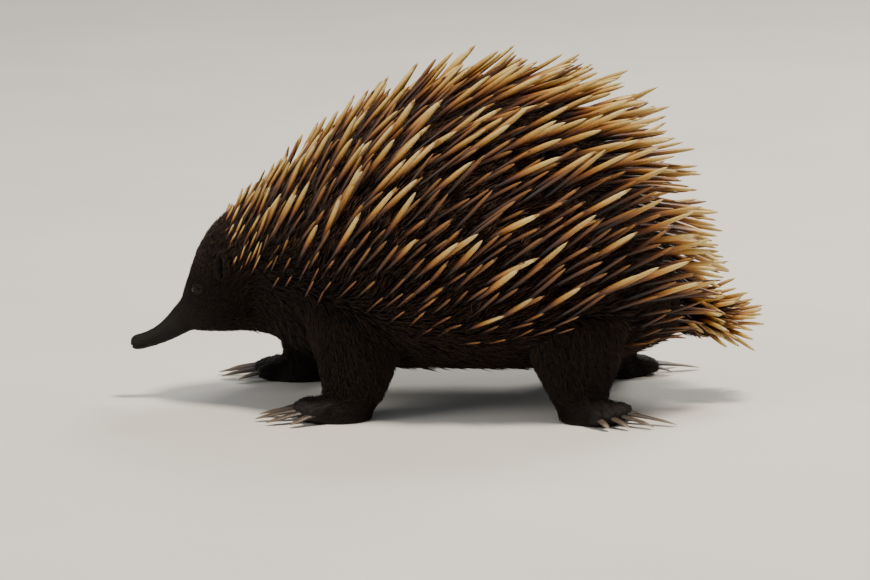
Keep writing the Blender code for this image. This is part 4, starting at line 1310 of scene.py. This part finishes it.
def rimFur(piece, shape, side):  # the coat's fields round an ear or the lids
    points, normals, corners = meshArrays(piece)
    centre, normal, back, up = (np.array(v) for v in surfaceFrame(shape, side))
    away = points - centre
    halfWidth, halfHeight = shape["bareInside"]
    outside = np.hypot(away @ back / halfWidth, away @ up / halfHeight) > 1
    outside &= normals @ normal > 0.05
    fields = np.zeros((len(points), 9))
    backwards, upwards = shape["hairWay"]
    fields[:, :3] = unit(back * backwards + up * upwards + normals * 0.1)
    fields[:, 3:] = shape["hair"]
    fields[:, 4] *= outside
    return points, normals, corners, fields


# Putting the animal together

def joinFrame(piece, slot, *nodes):  # in place of the solids named, where there are any
    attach(piece, "root")
    if nodes:
        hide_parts(*nodes)


skin, fleshTrees = buildSkin()
print("skin built,", len(skin.data.polygons), "triangles")
skin.data.materials.append(hide)
skinSurface = furOverSkin(skin, fleshTrees)
setAttribute(skin.data, "bare", skinSurface[3][:, 8])
skinPlaces = unwrapSkin(skin)
skinTree = BVHTree.FromObject(skin, bpy.context.evaluated_depsgraph_get())
print("skin mapped")
fleshNodes = ["bill", "head", "shoulders", "trunk", "rump", "tail"]
fleshNodes += [f"{pair}{part}_{side}" for pair, side in limbs for part in ("leg", "foot")]
joinFrame(skin, "bill_skin", *fleshNodes)

ears = {side: makeEar(side) for side in bothSides}
lids = {side: makeLids(side) for side in bothSides}
surfaces = [skinSurface]
for side in bothSides:
    surfaces.append(rimFur(ears[side], earShape, side))
    surfaces.append(rimFur(lids[side], eyeShape, side))
furPlaces = [skinPlaces]
for points, _, corners, _ in surfaces[1:]:
    furPlaces.append(placesUnder(points[corners].mean(axis=1), skinTree, skinPlaces))
spines = growSpines(skinTree, skinPlaces, spineMaterial())
fur = growFur(*joinSurfaces(surfaces), np.concatenate(furPlaces), furMaterial())
for coat in spines + fur:
    joinFrame(coat, "spiny_coat" if coat in spines else "fur")

for pair, side in limbs:
    for digit, (toe, clawLength) in enumerate(toePlaces(pair, side), 1):
        node = f"{pair}foot_{side}_claw_{digit}"
        claw = makeClaw(f"horn_{node}", toe, clawLength, footShape[pair]["clawWidth"] * mm)
        joinFrame(claw, "claw_horn", node)
for side in bothSides:
    joinFrame(makeEyeball(side), "eye", f"eye_{side}")
    joinFrame(lids[side], "bill_skin")
    joinFrame(ears[side], "bill_skin", f"ear_{side}")
print("claws, eyes and ears made")


# Floor, light and camera

stageShape = {
    "floorRadius": 14,
    "floorColours": ((0.3, "#d6d3cd"), (0.7, "#dcdad5")),
    "worldColour": "#e8ebf0",
    "worldStrength": 0.42,
    "aim": (0, 0, 0.1),
    # name: place, size, power, colour
    "lights": {
        "key": ((0.5, -0.35, 2.3), 0.45, 70, "#fff1dc"),
        "fill": ((-2.0, -1.2, 1.05), 1.2, 26, "#fff8ee"),
        "rim": ((0.9, 1.6, 1.5), 0.8, 34, "#fffaf0"),
    },
}


def makeFloor():
    # Matt painted board, pale and even, with a faint mottle.
    bm = bmesh.new()
    bmesh.ops.create_circle(bm, cap_ends=True, segments=96, radius=stageShape["floorRadius"])
    material, add, shader = newMaterial("mattPaleBoard", {"Roughness": 0.85})
    place = add("TexCoord", output="Object")
    mottle = add("TexNoise", {"Vector": place, "Scale": 6.0, "Detail": 3.0})
    tone = add("ValToRGB", {"Fac": mottle}, stops=stageShape["floorColours"])
    setInputs(shader, {"Base Color": tone})
    newPiece("floor", bm, material)


def aimAt(piece, target):
    piece.rotation_euler = (Vector(target) - piece.location).to_track_quat("-Z", "Y").to_euler()


def makeLights():
    world = bpy.data.worlds.new("studio")
    world.use_nodes = True
    background = {"Color": hexColour(stageShape["worldColour"]), "Strength": stageShape["worldStrength"]}
    setInputs(world.node_tree.nodes["Background"], background)
    bpy.context.scene.world = world
    for name, (place, size, power, colour) in stageShape["lights"].items():
        lamp = bpy.data.lights.new(name, "AREA")
        lamp.size, lamp.energy, lamp.color = size, power, hexColour(colour)[:3]
        light = addObject(name, lamp)
        light.location = place
        aimAt(light, stageShape["aim"])


viewShape = {
    "picture": 870,  # the photo's width in pixels
    "pixel": 0.648 * mm,  # size of one of them at the animal
    "middle": (-0.97 * mm, 71 * mm),  # x and z of the body's drawing at the picture's middle
    "lens": 300,
    "sensor": 36,
    "rise": 10,  # degrees that the camera looks down
}


def makeCamera():
    data = bpy.data.cameras.new("camera")
    data.lens, data.sensor_width = viewShape["lens"], viewShape["sensor"]
    camera = addObject("camera", data)
    x, z = viewShape["middle"]
    target = Vector((x + shift[0], 0, z))
    away = viewShape["picture"] * viewShape["pixel"] * data.lens / data.sensor_width
    rise = math.radians(viewShape["rise"])
    camera.location = target + Vector((0, -math.cos(rise), math.sin(rise))) * away
    aimAt(camera, target)
    bpy.context.scene.camera = camera


makeFloor()
makeLights()
makeCamera()
print("stage set")
